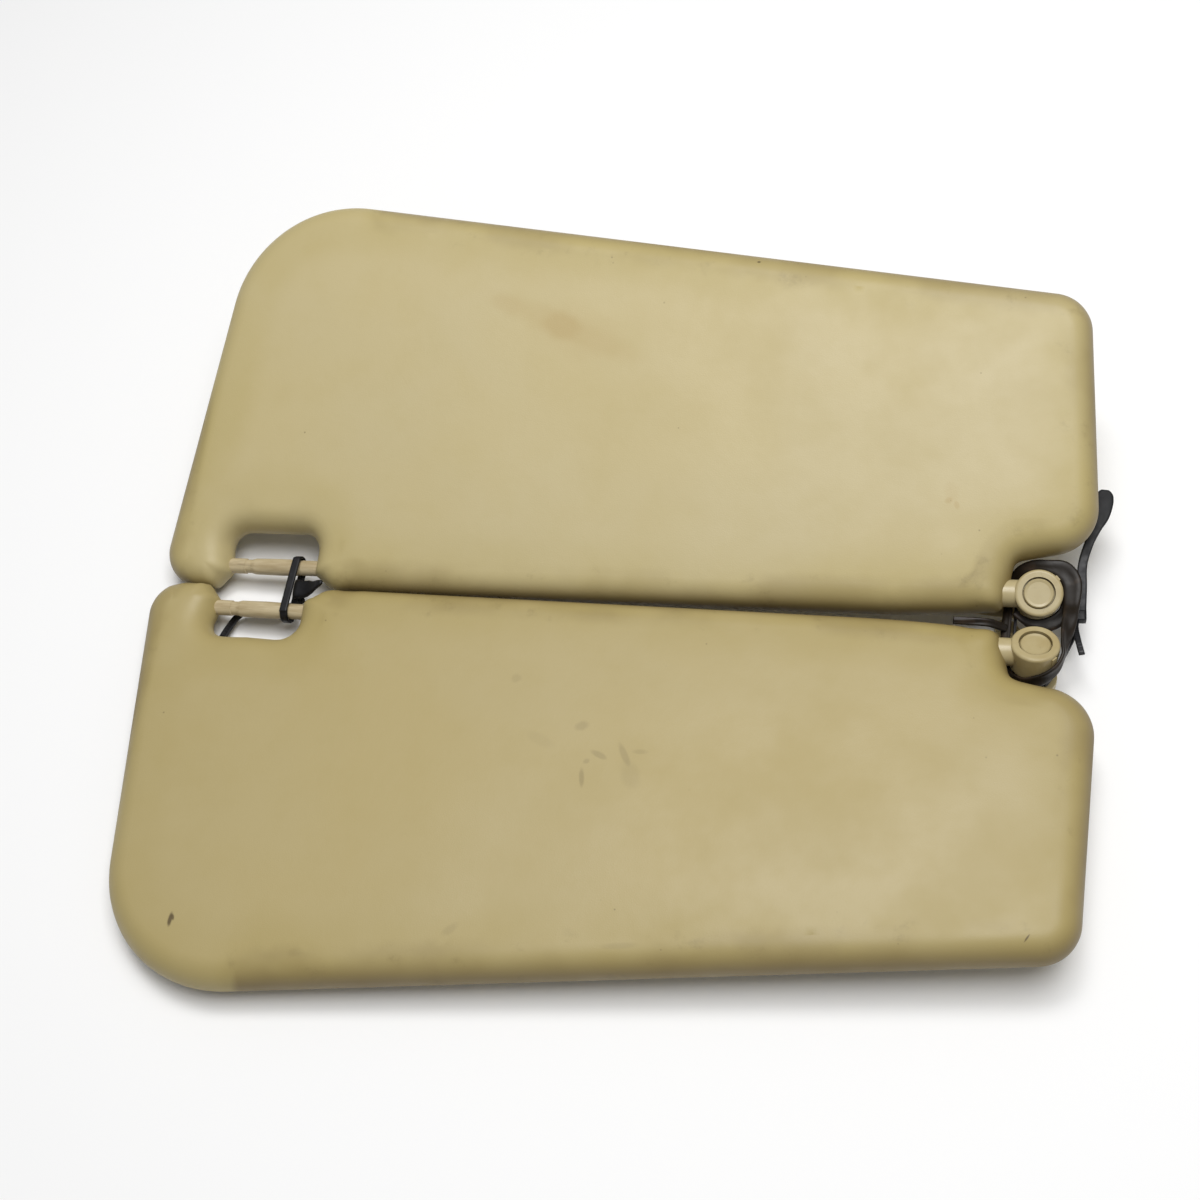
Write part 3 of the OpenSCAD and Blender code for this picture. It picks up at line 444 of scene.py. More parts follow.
class Shader:
    """A material with one principled shader and short calls for the nodes that feed it."""

    def __init__(self, name, **sockets):
        self.material = bpy.data.materials.new(name)
        self.material.use_nodes = True
        self.nodes = self.material.node_tree.nodes
        self.links = self.material.node_tree.links
        self.nodes.clear()
        output = self.nodes.new("ShaderNodeOutputMaterial")
        self.surface = self.nodes.new("ShaderNodeBsdfPrincipled")
        self.links.new(self.surface.outputs["BSDF"], output.inputs["Surface"])
        for socket, value in sockets.items():
            self.surface.inputs[socket.replace("_", " ")].default_value = value
        self.place = self.nodes.new("ShaderNodeTexCoord").outputs["Object"]

    def feed(self, socket, value):
        """Links a node's output to a socket, or sets the socket's own value."""
        if isinstance(value, bpy.types.NodeSocket):
            self.links.new(value, socket)
        else:
            socket.default_value = value

    def noise(self, scale, detail=2.0, roughness=0.5, place=None, distortion=0.0):
        node = self.nodes.new("ShaderNodeTexNoise")
        self.feed(node.inputs["Vector"], place or self.place)
        node.inputs["Scale"].default_value = scale
        node.inputs["Detail"].default_value = detail
        node.inputs["Roughness"].default_value = roughness
        node.inputs["Distortion"].default_value = distortion
        return node.outputs["Fac"]

    def cells(self, scale, feature="DISTANCE_TO_EDGE"):
        node = self.nodes.new("ShaderNodeTexVoronoi")
        node.feature = feature
        self.feed(node.inputs["Vector"], self.place)
        node.inputs["Scale"].default_value = scale
        return node.outputs["Distance"]

    def math(self, operation, a, b=0.0):
        node = self.nodes.new("ShaderNodeMath")
        node.operation = operation
        self.feed(node.inputs[0], a)
        self.feed(node.inputs[1], b)
        return node.outputs[0]

    def spread(self, value, low, high, to_low=0.0, to_high=1.0):
        """Maps low..high smoothly to to_low..to_high."""
        node = self.nodes.new("ShaderNodeMapRange")
        node.interpolation_type = "SMOOTHSTEP"
        for socket, number in zip(("Value", "From Min", "From Max", "To Min", "To Max"),
                                  (value, low, high, to_low, to_high)):
            self.feed(node.inputs[socket], number)
        return node.outputs["Result"]

    def mix(self, amount, a, b, blend="MIX"):
        node = self.nodes.new("ShaderNodeMix")
        node.data_type = "RGBA"
        node.blend_type = blend
        self.feed(node.inputs["Factor"], amount)
        colours = [s for s in node.inputs if s.type == "RGBA"]
        self.feed(colours[0], a)
        self.feed(colours[1], b)
        return [s for s in node.outputs if s.type == "RGBA"][0]

    def attribute(self, name):
        node = self.nodes.new("ShaderNodeAttribute")
        node.attribute_name = name
        return node.outputs["Fac"]

    def shifted(self, centre, scale=(1, 1, 1), turn=0.0):
        """Places counted from a centre, turned about Z and scaled."""
        node = self.nodes.new("ShaderNodeMapping")
        node.vector_type = "TEXTURE"
        self.feed(node.inputs["Vector"], self.place)
        node.inputs["Location"].default_value = centre
        node.inputs["Rotation"].default_value = (0, 0, turn)
        node.inputs["Scale"].default_value = scale
        return node.outputs["Vector"]

    def reach(self, place):
        node = self.nodes.new("ShaderNodeVectorMath")
        node.operation = "LENGTH"
        self.feed(node.inputs[0], place)
        return node.outputs["Value"]

    def spot(self, centre, size, turn):
        """1 inside an uneven spot of the given half sizes in metres, 0 outside it."""
        place = self.shifted(centre, (size[0], size[1], max(size)), turn)
        rough = self.math("MULTIPLY", self.noise(SPOT_GRAIN / max(size), 3.0), SPOT_RAGGED * 2)
        far = self.math("ADD", self.reach(place), rough)
        return self.spread(far, 1 + SPOT_RAGGED, 1 + SPOT_RAGGED - SPOT_SOFT)

    def bump(self, height, strength, distance, after=None):
        node = self.nodes.new("ShaderNodeBump")
        node.inputs["Strength"].default_value = strength
        node.inputs["Distance"].default_value = distance
        self.feed(node.inputs["Height"], height)
        if after:
            self.links.new(after, node.inputs["Normal"])
        return node.outputs["Normal"]

    def set(self, socket, value):
        self.feed(self.surface.inputs[socket], value)


def linear(value):
    """The renderer's value for a screen value from 0 to 255."""
    return ((value / 255 + 0.055) / 1.055) ** 2.4 if value > 10 else value / 255 / 12.92


def shade(r, g, b):
    """A colour from screen values, as the renderer's linear one."""
    return (linear(r), linear(g), linear(b), 1.0)


VINYL = shade(188, 175, 135)
VINYL_WARM = shade(186, 171, 124)
VINYL_EDGE = shade(176, 161, 108)
# Colour of the painted shade down the rounded rim, and of the patchy grime along it.
RIM_SHADE_AND_GRIME = shade(118, 99, 58)
STAIN = shade(160, 130, 66)
DIRT = shade(92, 78, 50)


def vinyl(name, tint, seed):
    """Aged cream vinyl: yellowed in clouds and towards the edges, with painted shade down the rounded rim and a
    fine pressed grain.
    """
    s = Shader(name, Specular_IOR_Level=0.42)
    place = s.shifted((0, 0, seed))
    depth = s.attribute("depth")
    cloud = s.noise(9, 3.0, 0.55, place)
    mottle = s.noise(60, 4.0, 0.6, place)
    patches = s.noise(70, 5.0, 0.7, place)
    edge_patches = s.noise(24, 3.0, 0.5, place)

    colour = s.mix(s.spread(cloud, 0.3, 0.75, 0, 0.7), VINYL, VINYL_WARM)
    colour = s.mix(s.spread(mottle, 0.4, 0.75, 0, 0.14), colour, VINYL_EDGE)
    worn = s.math("MULTIPLY", s.spread(depth, 22, 0), s.spread(cloud, 0.3, 0.7, 0.25, 0.8))
    colour = s.mix(worn, colour, VINYL_EDGE)
    # Painted shade: the rounded rim darkens towards its widest line.
    colour = s.mix(s.spread(depth, -3, -15, 0, 0.7), colour, RIM_SHADE_AND_GRIME)
    smears = s.math("MULTIPLY", s.spread(depth, 9, 0), s.spread(patches, 0.56, 0.78, 0, 0.3))
    colour = s.mix(smears, colour, DIRT)
    edging = s.math("MULTIPLY", s.spread(depth, 6, -2), s.spread(edge_patches, 0.35, 0.7, 0, 0.3))
    colour = s.mix(edging, colour, RIM_SHADE_AND_GRIME)
    specks = s.spread(s.cells(95, "F1"), 0.055, 0.025, 0, 0.45)
    specks = s.math("MULTIPLY", specks, s.spread(s.noise(21, 2.0), 0.52, 0.64))
    colour = s.mix(specks, colour, DIRT)
    # The tint multiplies in painted light: the lower panel's tint darkens it as painted shade.
    s.colour = s.mix(1.0, colour, tint, "MULTIPLY")

    fine = s.bump(s.cells(1050), 0.32, 0.00009)
    fine = s.bump(s.noise(2600, 2.0), 0.2, 0.00008, fine)
    s.set("Normal", s.bump(s.noise(160, 3.0), 0.12, 0.0005, fine))
    s.set("Roughness", s.spread(s.noise(28, 3.0, 0.6, place), 0.3, 0.75, 0.42, 0.56))
    return s


# Each mark is right, up, half width, half height (millimetres from its image point), turn in
# radians, strength and colour.
MARKS = {
    "yellow_stain": [(0, 0, 12, 8, -0.5, 0.2, STAIN), (-24, 13, 12, 6, -0.4, 0.12, STAIN),
                     (4, -2, 55, 9, -0.52, 0.12, STAIN), (8, -4, 30, 16, -0.5, 0.08, STAIN)],
    "pale_stain": [(-1, 1, 2.2, 1.8, 0.5, 0.26, STAIN), (1.8, -1.4, 1.4, 2.4, 0.3, 0.26, STAIN),
                   (-0.5, 0.8, 0.45, 0.45, 0, 0.5, DIRT), (0, 4, 4, 7, 0, 0.1, STAIN)],
    "edge_dot": [(0, 0, 1.1, 0.9, 0, 0.9, DIRT)],
    "corner_scuff": [(0, 0, 1.2, 3.6, -0.12, 0.95, DIRT), (0.9, 0.8, 1.0, 1.8, 0.3, 0.9, DIRT)],
    "thin_mark": [(0, 0, 2.4, 0.45, 0.85, 0.85, DIRT)],
    "hand_smudge": [(-12.8, -8, 1.3, 5.5, 0, 0.3, DIRT), (-11, -1, 2.2, 1.6, 0.5, 0.22, DIRT),
                    (-6, 1.5, 4.6, 1.6, -0.55, 0.24, DIRT), (4.5, 1, 1.8, 7, 0.35, 0.22, DIRT),
                    (7, -8, 5, 9, 0.2, 0.1, DIRT), (11, 1.4, 4, 1.6, -0.1, 0.16, DIRT),
                    (-13, 15, 4, 2.6, 0.2, 0.2, DIRT), (-30, 10, 8, 3, -0.6, 0.06, DIRT)],
    "small_smudge": [(0, 0, 2.8, 2.6, 0.4, 0.13, DIRT)],
    "low_smudge": [(0, 0, 5, 2.6, 0.6, 0.14, DIRT), (-62, -6, 5, 2.4, 0.1, 0.1, DIRT),
                   (66, -10, 9, 1.6, 0, 0.12, DIRT)],
}
UPPER_MARKS = ("yellow_stain", "pale_stain", "edge_dot")


def add_marks(s, centre, name):
    """Stains the vinyl round a place with one group of marks."""
    for right, up, wide, tall, turn, strength, colour in MARKS[name]:
        at = centre + MM * (right * PICTURE_RIGHT + up * PICTURE_UP)
        spot = s.spot(at, (wide * MM, tall * MM), turn + PICTURE_TURN)
        s.colour = s.mix(s.math("MULTIPLY", spot, strength), s.colour, colour)


def plastic(name, light, dark, roughness, grain=0.15):
    """Moulded plastic with faint mottling, grime in patches and a fine surface."""
    s = Shader(name, Roughness=roughness)
    colour = s.mix(s.spread(s.noise(55, 3.0, 0.6), 0.35, 0.7), light, dark)
    colour = s.mix(s.spread(s.noise(210, 3.0, 0.7), 0.62, 0.78, 0, 0.4), colour, DIRT)
    s.set("Base Color", colour)
    s.set("Roughness", s.spread(s.noise(120, 2.0), 0.3, 0.7, roughness - 0.06, roughness + 0.08))
    s.set("Normal", s.bump(s.noise(700, 2.0), grain, 0.0001))
    return s.material


def bar_plastic():
    """Worn moulded bar, with dirt in streaks along it."""
    s = Shader("bar_plastic")
    along = s.shifted((0, 0, 0), (9, 1, 1))
    streaks = s.spread(s.noise(260, 4.0, 0.65, along), 0.4, 0.68)
    colour = s.mix(streaks, shade(191, 176, 142), shade(162, 144, 108))
    grime = s.spread(s.noise(150, 4.0, 0.7, along), 0.55, 0.74, 0, 0.6)
    s.set("Base Color", s.mix(grime, colour, shade(84, 70, 50)))
    s.set("Roughness", s.spread(s.noise(120, 2.0), 0.3, 0.7, 0.46, 0.62))
    s.set("Normal", s.bump(s.noise(700, 2.0, 0.5, along), 0.3, 0.0001))
    return s.material


def metal(name, colour, roughness):
    """Drawn or stamped metal with fine lines and a dull film."""
    s = Shader(name, Metallic=1.0, Roughness=roughness)
    tint = s.noise(90, 3.0)
    s.set("Base Color", s.mix(s.spread(tint, 0.35, 0.7), colour, shade(120, 116, 108)))
    lines = s.noise(900, 2.0, 0.6, s.shifted((0, 0, 0), (14, 1, 1)))
    s.set("Roughness", s.spread(lines, 0.3, 0.7, roughness - 0.07, roughness + 0.1))
    s.set("Normal", s.bump(lines, 0.1, 0.00005))
    return s.material


def foam():
    s = Shader("foam", Roughness=0.95)
    s.set("Base Color", s.mix(s.noise(60, 3.0), shade(232, 214, 150), shade(205, 180, 110)))
    s.set("Normal", s.bump(s.cells(1400), 0.7, 0.0004))
    return s.material


def board():
    s = Shader("board", Roughness=0.85)
    s.set("Base Color", s.mix(s.noise(700, 4.0, 0.7), shade(150, 120, 84), shade(112, 84, 55)))
    s.set("Normal", s.bump(s.noise(1200, 3.0), 0.4, 0.0002))
    return s.material


def strap_material():
    """Dark brown stretched plastic: glossy, with fine creases along its length."""
    s = Shader("strap", Specular_IOR_Level=0.3)
    streak = s.spread(s.noise(160, 2.0, 0.5, distortion=0.5), 0.45, 0.75)
    s.set("Base Color", s.mix(streak, shade(26, 19, 11), shade(48, 36, 25)))
    s.set("Roughness", s.spread(s.noise(140, 2.0), 0.35, 0.7, 0.4, 0.56))
    creases = s.noise(300, 2.0, 0.5, distortion=0.8)
    s.set("Normal", s.bump(creases, 0.16, 0.0004))
    return s.material


def tie_material():
    s = Shader("tie", Specular_IOR_Level=0.35)
    dust = s.spread(s.noise(240, 3.0, 0.6), 0.5, 0.8)
    s.set("Base Color", s.mix(dust, shade(15, 15, 18), shade(32, 31, 36)))
    s.set("Roughness", s.spread(s.noise(300, 2.0), 0.3, 0.7, 0.42, 0.58))
    s.set("Normal", s.bump(s.noise(1500, 2.0), 0.15, 0.00008))
    return s.material


def dress_nodes():
    """Materials of the CAD pieces that show or that lie inside."""
    cream = plastic("cream_plastic", shade(179, 165, 125), shade(165, 148, 104), 0.36)
    bar = bar_plastic()
    nylon = plastic("nylon", shade(232, 226, 208), shade(218, 208, 184), 0.42)
    bright = metal("zinc", shade(196, 196, 198), 0.32)
    by_slot = {
        "cream_plastic": cream,
        "nylon": nylon,
        "steel": bright,
        "foam": foam(),
        "board": board(),
    }
    slots = {s["node"]: s["material_slot"] for s in frame["record"]["subparts"]}
    for node, obj in frame["nodes"].items():
        material = bar if node.endswith("clip_bar") else by_slot.get(slots[node])
        if material:
            for i in range(len(obj.material_slots)):
                obj.material_slots[i].material = material


# ---- Bands: the two ties and the strap ----
TIE_T = 1.2
STRAP_T = 1.4
TIE_GAP = 0.3
HEAD_R = 9.8
BOSS_R = 7.0
BOSS_MIDDLE_Z = -10.6
NUB_OUT = 0.5
BAR_R = 3.5
BAR_RIB = 0.35
BAR_TIE_W = 3.5
BAR_TIE_FROM_SLOT = 10.4
BAR_TIE_X = SLOT_START + BAR_TIE_FROM_SLOT
BAR_TIE_R = BAR_R + BAR_RIB + TIE_GAP + TIE_T / 2
BAR_TIE_LOW_Y = -PIVOT_GAP_MM + math.sin(LOWER_YAW) * (BAR_TIE_X - PIVOT_OFFSET_MM)
HEAD_TIE_H = 2.6
HEAD_TIE_R = BOSS_R + TIE_GAP + TIE_T / 2
TOOTH_MM = 1.3
TOOTH_DEPTH = 0.32
TOOTH_HALF = 0.7
CREASES = 4.2
CREASE_DEPTH = 0.14
CREASE_RUN_MM = 14
CREASE_SEED = 3.7
TOOTHED_STEP = 0.32
STRAP_STEP = 0.9
PADDLE_STEP = 0.8
ACROSS = (-1, -0.8, -0.55, -0.3, 0, 0.3, 0.55, 0.8, 1)  # places across a band's half width
CORNER_PART = 0.22  # how far a band's outer edges are taken in, of its thickness


def polar(r, degrees, z):
    """A place at an angle round z."""
    a = math.radians(degrees)
    return Vector((r * math.cos(a), r * math.sin(a), z))


UP_TURN = Matrix.Rotation(UPPER_LIFT + UPPER_ARM_TURN, 3, "X")
LOW_TURN = Matrix.Scale(-1, 3, (0, 1, 0)) @ Matrix.Rotation(LOWER_ARM_TURN, 3, "X")


def up_arm(p):
    """From the upper arm's own frame to the bundle's."""
    return UP_TURN @ Vector(p)


def low_way(p):
    """A direction of the lower arm's frame in the bundle's."""
    return LOW_TURN @ Vector(p)


def low_arm(p):
    """From the lower arm's own frame to the bundle's."""
    return low_way(p) + Vector((-PIVOT_OFFSET_MM, -PIVOT_GAP_MM, 0))


def smooth_run(values, i, t, closed):
    """A smooth run through the values, at part t of the way from value i to the next."""
    n = len(values)

    def at(k):
        return values[k % n] if closed else values[min(max(k, 0), n - 1)]

    p0, p1, p2, p3 = at(i - 1), at(i), at(i + 1), at(i + 2)
    return 0.5 * (2 * p1 + (p2 - p0) * t + (2 * p0 - 5 * p1 + 4 * p2 - p3) * t * t
                  + (3 * p1 - p0 - 3 * p2 + p3) * t ** 3)


def band_line(knots, step, closed):
    """Centres, wide directions and widths along a band, a step apart in millimetres."""
    knots = [(Vector(p), Vector(w), float(b)) for p, w, b in knots]
    runs = len(knots) if closed else len(knots) - 1
    line = []
    for i in range(runs):
        length = (knots[(i + 1) % len(knots)][0] - knots[i][0]).length
        parts = max(2, round(length / step))
        for k in range(parts + (1 if not closed and i == runs - 1 else 0)):
            line.append(tuple(smooth_run([q[c] for q in knots], i, k / parts, closed) for c in range(3)))
    return line


def band(knots, thickness, profile, step, closed=False):
    """Points and faces of a band through knots (centre, wide direction, width).

    profile(across, face, along) moves a point of the section out of the plain one: across runs
    from -1 to 1, face is 1 on the outer side, and along is the distance run."""
    line = band_line(knots, step, closed)
    section = [(a, 1) for a in ACROSS] + [(a, -1) for a in reversed(ACROSS)]
    points = []
    faces = []
    n = len(line)
    m = len(section)
    travelled = 0.0
    for i, (centre, wide, width) in enumerate(line):
        ahead = line[(i + 1) % n][0] if closed or i < n - 1 else centre
        behind = line[i - 1][0] if closed or i > 0 else centre
        along = (ahead - behind).normalized()
        thick = along.cross(wide).normalized()
        broad = thick.cross(along)
        travelled += (centre - line[i - 1][0]).length if i else 0
        for a, face in section:
            edge = thickness * CORNER_PART if abs(a) == 1 else 0
            out = face * (thickness / 2 - edge) + profile(a, face, travelled)
            points.append(centre + broad * a * width / 2 + thick * out)
    for j in range(n if closed else n - 1):
        for k in range(m):
            a, b = j * m + k, j * m + (k + 1) % m
            c, d = (j + 1) % n * m + k, (j + 1) % n * m + (k + 1) % m
            faces.append((a, b, d, c))
    if not closed:
        faces.append(tuple(range(m)))
        faces.append(tuple(range((n - 1) * m, n * m))[::-1])
    return points, faces


def toothed(across, face, along):
    """Cross teeth sunk between two plain edges, on one face of a cable tie."""
    if abs(across) > TOOTH_HALF or face < 0:
        return 0.0
    return -TOOTH_DEPTH * ((along % TOOTH_MM) / TOOTH_MM)


def plain(*_):
    """No form of its own."""
    return 0.0


def creased(across, face, along):
    """Folds that run along the strap and wander a little."""
    wander = noise.noise(Vector((along / CREASE_RUN_MM, across * 0.4, CREASE_SEED)))
    fold = math.sin(across * CREASES + wander * 4) * CREASE_DEPTH
    return face * fold * (1 - abs(across) ** 4)


def merge(parts):
    """Several (points, faces) as one."""
    points, faces = [], []
    for own_points, own_faces in parts:
        start = len(points)
        points += own_points
        faces += [tuple(start + i for i in f) for f in own_faces]
    return points, faces


def soft_block(sections, sides=20, power=3.5):
    """A rounded solid through sections (x, centre y, centre z, half height, half width)."""
    points, faces = [], []
    for x, y, z, tall, deep in sections:
        for k in range(sides):
            a = 2 * math.pi * k / sides
            c, s = math.cos(a), math.sin(a)
            u = math.copysign(abs(c) ** (2 / power), c)
            v = math.copysign(abs(s) ** (2 / power), s)
            points.append(Vector((x, y + u * tall, z + v * deep)))
    rings = len(sections)
    for j in range(rings - 1):
        for k in range(sides):
            a, b = j * sides + k, j * sides + (k + 1) % sides
            faces.append((a, b, b + sides, a + sides))
    faces.append(tuple(range(sides))[::-1])
    faces.append(tuple(range((rings - 1) * sides, rings * sides)))
    return points, faces


def on_head(way, lean_way, knots):
    """Knots [angle, radius, height, lean outwards, width] round a head."""
    result = []
    for angle, radius, height, lean, width in knots:
        a = math.radians(lean)
        out = polar(math.sin(a), angle, -math.cos(a))
        result.append((way(polar(radius, angle, height)), lean_way(out), width))
    return result


def tie_piece(name, points, faces, material, node):
    """A finished tie or strap, given in the bundle's millimetres, in place of its CAD node."""
    piece = new_piece(name, [BUNDLE @ p for p in points], faces, material, "arms")
    outward(piece)
    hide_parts(node)
    return piece


def head_strap(material):
    """The dark strap: a loop round both heads, a half turn round the upper one and a dark band in the gap between
    the panels' noses, which stands in partly for the shade in that gap.
    """
    hug = HEAD_R + TIE_GAP + STRAP_T / 2
    far_side = [(180, 10.9, -8.3, 45, 4), (150, 11.4, -7.6, 70, 4.2), (124, 12.3, -5.2, 85, 4.2),
                (98, 12.5, -3.2, 90, 4.4), (72, 12.8, -1.8, 90, 5), (46, 14.3, -1, 92, 8),
                (20, 14.3, 0, 96, 8)]
    right_side = [((13.3, -5, 1.4), (1, 0, 0.1), 6.6), ((12.4, -12.5, 3), (1, 0, -0.1), 6)]
    flank = [(-14, hug + 1.3, 3.8, 30, 6), (14, hug + NUB_OUT, 2, 0, 6),
             (40, hug + NUB_OUT, -0.4, 0, 6), (65, hug + NUB_OUT / 2, -2.9, 0, 6.2),
             (90, hug, -5.2, 0, 6.2), (114, hug, -7, 0, 5.4), (146, 10.9, -8.2, 25, 4.2),
             (180, 10.9, -8.3, 45, 4)]
    near_strand = [((-12.4, -14, -8), (-1, 0, -0.35), 4)]
    half_turn = [(4, 12.4, -0.6, 90, 4.4), (-30, 13, -0.8, 90, 5.6), (-60, 13.2, -0.8, 90, 6),
                 (-90, 12.9, -0.8, 90, 5.2), (-118, 12, -1.6, 88, 3), (-140, 11.8, -2.6, 80, 2.8)]
    # A dark band in the gap between the panels' noses, drawn as the strap's end and standing in partly for the
    # shade in that gap.
    gap_band = [((-12.2, -12.5, -7.6), (0, 1, 0.2), 3.2), ((-15, -13.2, -4.4), (0, 1, 0.4), 3.4),
                 ((-20, -13.4, -1.6), (0, 0.87, 0.49), 3.4), ((-27, -13.4, -1), (0, 0.87, 0.49), 3.4),
                 ((-34, -13.3, -1), (0, 0.87, 0.49), 3)]
    loop = on_head(up_arm, up_arm, far_side) + right_side
    loop += on_head(low_arm, low_way, flank) + near_strand
    points, faces = merge([
        band(loop, STRAP_T, creased, STRAP_STEP, closed=True),
        band(on_head(up_arm, up_arm, half_turn), STRAP_T, creased, STRAP_STEP),
        band(gap_band, STRAP_T, creased, STRAP_STEP),
    ])
    return tie_piece("strap", points, faces, material, "head_strap")


def head_tie(material):
    """The cable tie under the heads: its loop, lock, long paddle end and cut stub."""
    loop = [(up_arm(polar(HEAD_TIE_R, a, BOSS_MIDDLE_Z)), up_arm((0, 0, 1)), HEAD_TIE_H)
            for a in range(84, 181, 32)]
    loop += [(low_arm(polar(HEAD_TIE_R, a, BOSS_MIDDLE_Z)), low_way((0, 0, 1)), HEAD_TIE_H)
             for a in range(180, 29, -30)]
    loop += [((14.2, -17, -8.6), (0, 0, 1), HEAD_TIE_H), ((16.4, -8, -7.4), (0, 0, 1), HEAD_TIE_H),
             ((16.8, 4, -6.8), (0, 0, 1), HEAD_TIE_H), ((11.6, 10.8, -6.8), (0, -0.3, 1), HEAD_TIE_H)]
    paddle = [((17.6, -4, -5.6), (1, 0, 0), 4.2), ((17.9, 6, -3.6), (1, 0, 0), 4),
              ((18, 15.5, -1), (1, -0.1, 0), 3.8), ((20.4, 24.6, 1.2), (1, -0.4, 0), 3.8),
              ((23.2, 31.5, 2.4), (1, -0.45, 0), 4.4), ((25.6, 37.6, 2.8), (1, -0.35, 0), 6.2),
              ((26.6, 44, 3), (1, -0.1, 0), 7.6), ((27, 48.5, 3), (1, 0, 0), 6.6),
              ((27.2, 50.4, 3), (1, 0.1, 0), 3.4)]
    stub = [((15.4, -7, -6.6), (1, 0, 0), 3), ((15.2, -13, -4.4), (1, 0, 0), 2.6),
            ((16, -20.5, -1.4), (1, 0, 0), 2.4), ((17.3, -27, -0.6), (1, 0, 0), 2.4)]
    lock = [(13.8, -5.2, -7, 2.2, 1.0), (13.85, -5.2, -7, 3.1, 1.9), (15, -5.2, -7, 3.2, 2),
            (18.6, -5.2, -7, 3.2, 2), (19.75, -5.2, -7, 3.1, 1.9), (19.8, -5.2, -7, 2.2, 1.0)]
    points, faces = merge([
        band(loop, TIE_T, toothed, TOOTHED_STEP, closed=True),
        soft_block(lock, power=6),
        band(paddle, TIE_T, plain, PADDLE_STEP),
        band(stub, TIE_T, toothed, TOOTHED_STEP),
    ])
    return tie_piece("head_tie_band", points, faces, material, "head_tie")


def crumpled(p):
    """A point of the folded end beside the lock, moved along soft creases."""
    push = noise.noise(Vector((p.x / 5, p.y / 3, p.z / 3))) * 0.5
    return Vector((p.x, p.y * (1 + 0.06 * push), p.z + push))


def round_bar(bar_y, degrees):
    """A knot of the bar tie, at an angle round the clip bar at bar_y."""
    a = math.radians(degrees)
    spot = (-BAR_TIE_X, bar_y + BAR_TIE_R * math.cos(a), BAR_TIE_R * math.sin(a))
    return spot, (1, 0, 0), BAR_TIE_W


def bar_tie(material):
    """The cable tie round both clip bars: its loop, the crumpled lump beside it and the tail."""
    loop = [round_bar(0, a) for a in range(90, -91, -30)]
    loop += [round_bar(BAR_TIE_LOW_Y, a) for a in range(-90, -271, -30)]
    tail = [((4.5, 8.6, -3), (0.7, -0.7, 0)), ((-1, 6, -5.6), (0.5, -0.85, 0)),
            ((-10, 3.8, -6.2), (0.1, -1, 0)), ((-21, 3, -6.4), (0.2, -1, 0)),
            ((-26.2, 0.4, -6.8), (0.7, -0.7, 0)), ((-29.6, -5, -7.6), (0.86, -0.5, 0)),
            ((-32.4, -11.6, -8.4), (0.92, -0.38, 0))]
    start = Vector((-BAR_TIE_X, BAR_TIE_LOW_Y, 0))
    tail = [(start + Vector(p), w, BAR_TIE_W) for p, w in tail]
    middle = Vector((-BAR_TIE_X, BAR_TIE_LOW_Y / 2, 0))
    lump = [(0.7, 0, -0.6, 3.6, 1.8), (0.8, 0, -0.6, 4.7, 2.8), (2.5, 0.1, -0.4, 4.6, 2.7),
            (4.5, -0.1, 0.2, 4.1, 2.2), (6, 0, 0.4, 4, 2.3), (7.5, 0.1, 1, 3.7, 2.1),
            (10, -0.1, 2.8, 2.9, 1.7), (12.5, 0, 4.8, 2.1, 1.4), (15, 0, 6.7, 1.4, 1.1),
            (16.2, 0, 7.4, 0.8, 0.7)]
    block, block_faces = soft_block(lump, sides=28, power=3)
    block = [middle + crumpled(p) for p in block]
    points, faces = merge([
        band(loop, TIE_T, toothed, TOOTHED_STEP, closed=True),
        (block, block_faces),
        band(tail, TIE_T, toothed, TOOTHED_STEP),
    ])
    return tie_piece("bar_tie_band", points, faces, material, "bar_tie")


# ---- Floor and light ----
FLOOR_HALF = 6.0
WORLD_LIGHT = 0.24


def stage():
    mesh = bpy.data.meshes.new("floor")
    corners = [(x * FLOOR_HALF, y * FLOOR_HALF, 0) for x, y in ((-1, -1), (1, -1), (1, 1), (-1, 1))]
    mesh.from_pydata(corners, [], [(0, 1, 2, 3)])
    floor = bpy.data.objects.new("floor", mesh)
    s = Shader("floor", Roughness=0.9, Base_Color=(0.9, 0.9, 0.9, 1))
    mesh.materials.append(s.material)
    bpy.context.scene.collection.objects.link(floor)


def area_light(name, at, size, power):
    """A soft box that looks at the middle of the floor."""
    data = bpy.data.lights.new(name, "AREA")
    data.shape = "RECTANGLE"
    data.size, data.size_y = size
    data.energy = power
    light = bpy.data.objects.new(name, data)
    light.location = at
    light.rotation_mode = "QUATERNION"
    light.rotation_quaternion = (-Vector(at)).to_track_quat("-Z", "Y")
    bpy.context.scene.collection.objects.link(light)


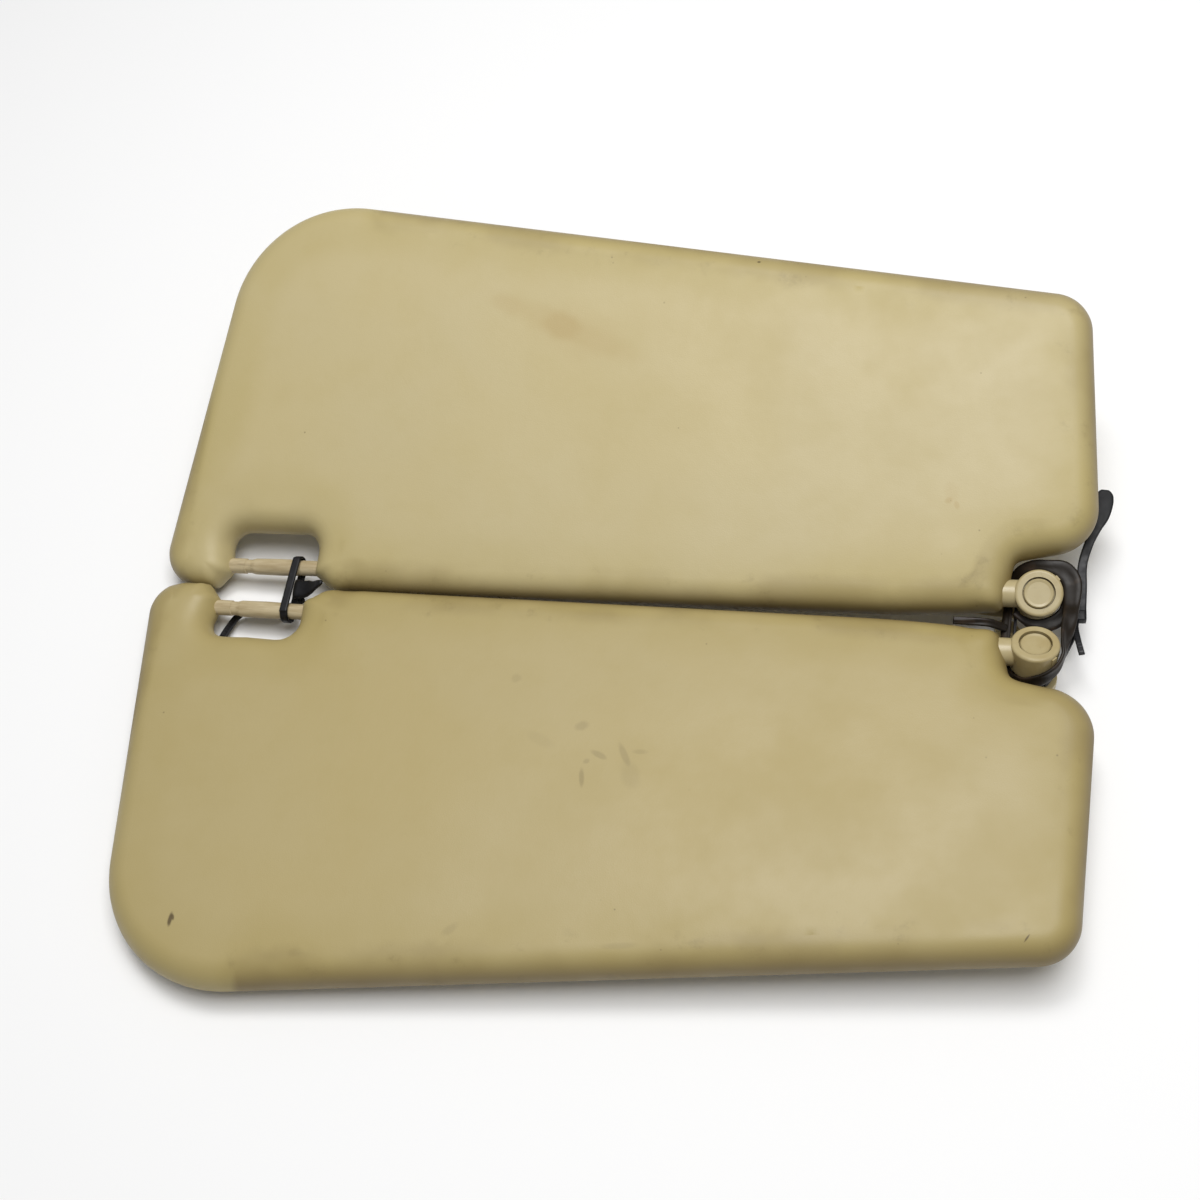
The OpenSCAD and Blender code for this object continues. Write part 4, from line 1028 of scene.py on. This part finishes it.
def light_up():
    world = bpy.data.worlds.new("studio")
    world.use_nodes = True
    background = world.node_tree.nodes["Background"]
    background.inputs["Color"].default_value = (1, 1, 1, 1)
    background.inputs["Strength"].default_value = WORLD_LIGHT
    bpy.context.scene.world = world
    area_light("ceiling", (0.29, 0.1, 1.7), (1.2, 1.0), 24)
    area_light("window", (-0.12, 0.42, 1.5), (0.5, 0.4), 5)
    bpy.context.scene.view_settings.view_transform = "Standard"


# ---- The part ----
# Painted light: the two panels are lit and shaded copies of one vinyl, and the lower tint darkens its panel as
# painted shade.
UPPER_LIT_TINT = (0.975, 0.965, 0.93, 1)
LOWER_SHADED_TINT = (0.81, 0.775, 0.655, 1)


def part():
    """All visible pieces. Returns the marks' places and the two ties."""
    dress_nodes()
    upper = vinyl("upper_vinyl", UPPER_LIT_TINT, 0.0)
    lower = vinyl("lower_vinyl", LOWER_SHADED_TINT, 0.7)
    upper_skin = skin("upper_skin", UPPER_PANEL, "upper_visor",
                      ("upper_front_cover", "upper_back_cover"), upper.material, 1.0)
    lower_skin = skin("lower_skin", LOWER_PANEL, "lower_visor",
                      ("lower_front_cover", "lower_back_cover"), lower.material, 5.0)
    places = {}
    for name in MARKS:
        carrier, shader = (upper_skin, upper) if name in UPPER_MARKS else (lower_skin, lower)
        places[name] = place_on(carrier, name)
        add_marks(shader, places[name], name)
    for shader in (upper, lower):
        shader.set("Base Color", shader.colour)
    black = tie_material()
    head_strap(strap_material())
    head = head_tie(black)
    bars = bar_tie(black)
    return places, head, bars


# ---- Image places of the bar tie ----
TAIL_REACH_PX = 24.4
TAIL_ROWS_PX = 3


def seen_box(points):
    """Least and greatest image x and y of some places."""
    seen = [seen_at(p) for p in points]
    xs = [p[0] for p in seen]
    ys = [p[1] for p in seen]
    return min(xs), max(xs), min(ys), max(ys)


def middle(points):
    """Middle of the image box round some places."""
    x0, x1, y0, y1 = seen_box(points)
    return ((x0 + x1) / 2, (y0 + y1) / 2)


def write_points(places, head, bars):
    """Image places of the bar tie's points near its tail's row, in pixels of the 1200 frame."""
    bpy.context.view_layer.update()
    tail_x, tail_y = POINTS["bar_tie_tail"]
    at_edge = [seen_at(v.co) for v in bars.data.vertices]
    at_edge = [p for p in at_edge if abs(p[1] - tail_y) < TAIL_ROWS_PX and p[0] < tail_x + TAIL_REACH_PX]


stage()
light_up()
write_points(*part())
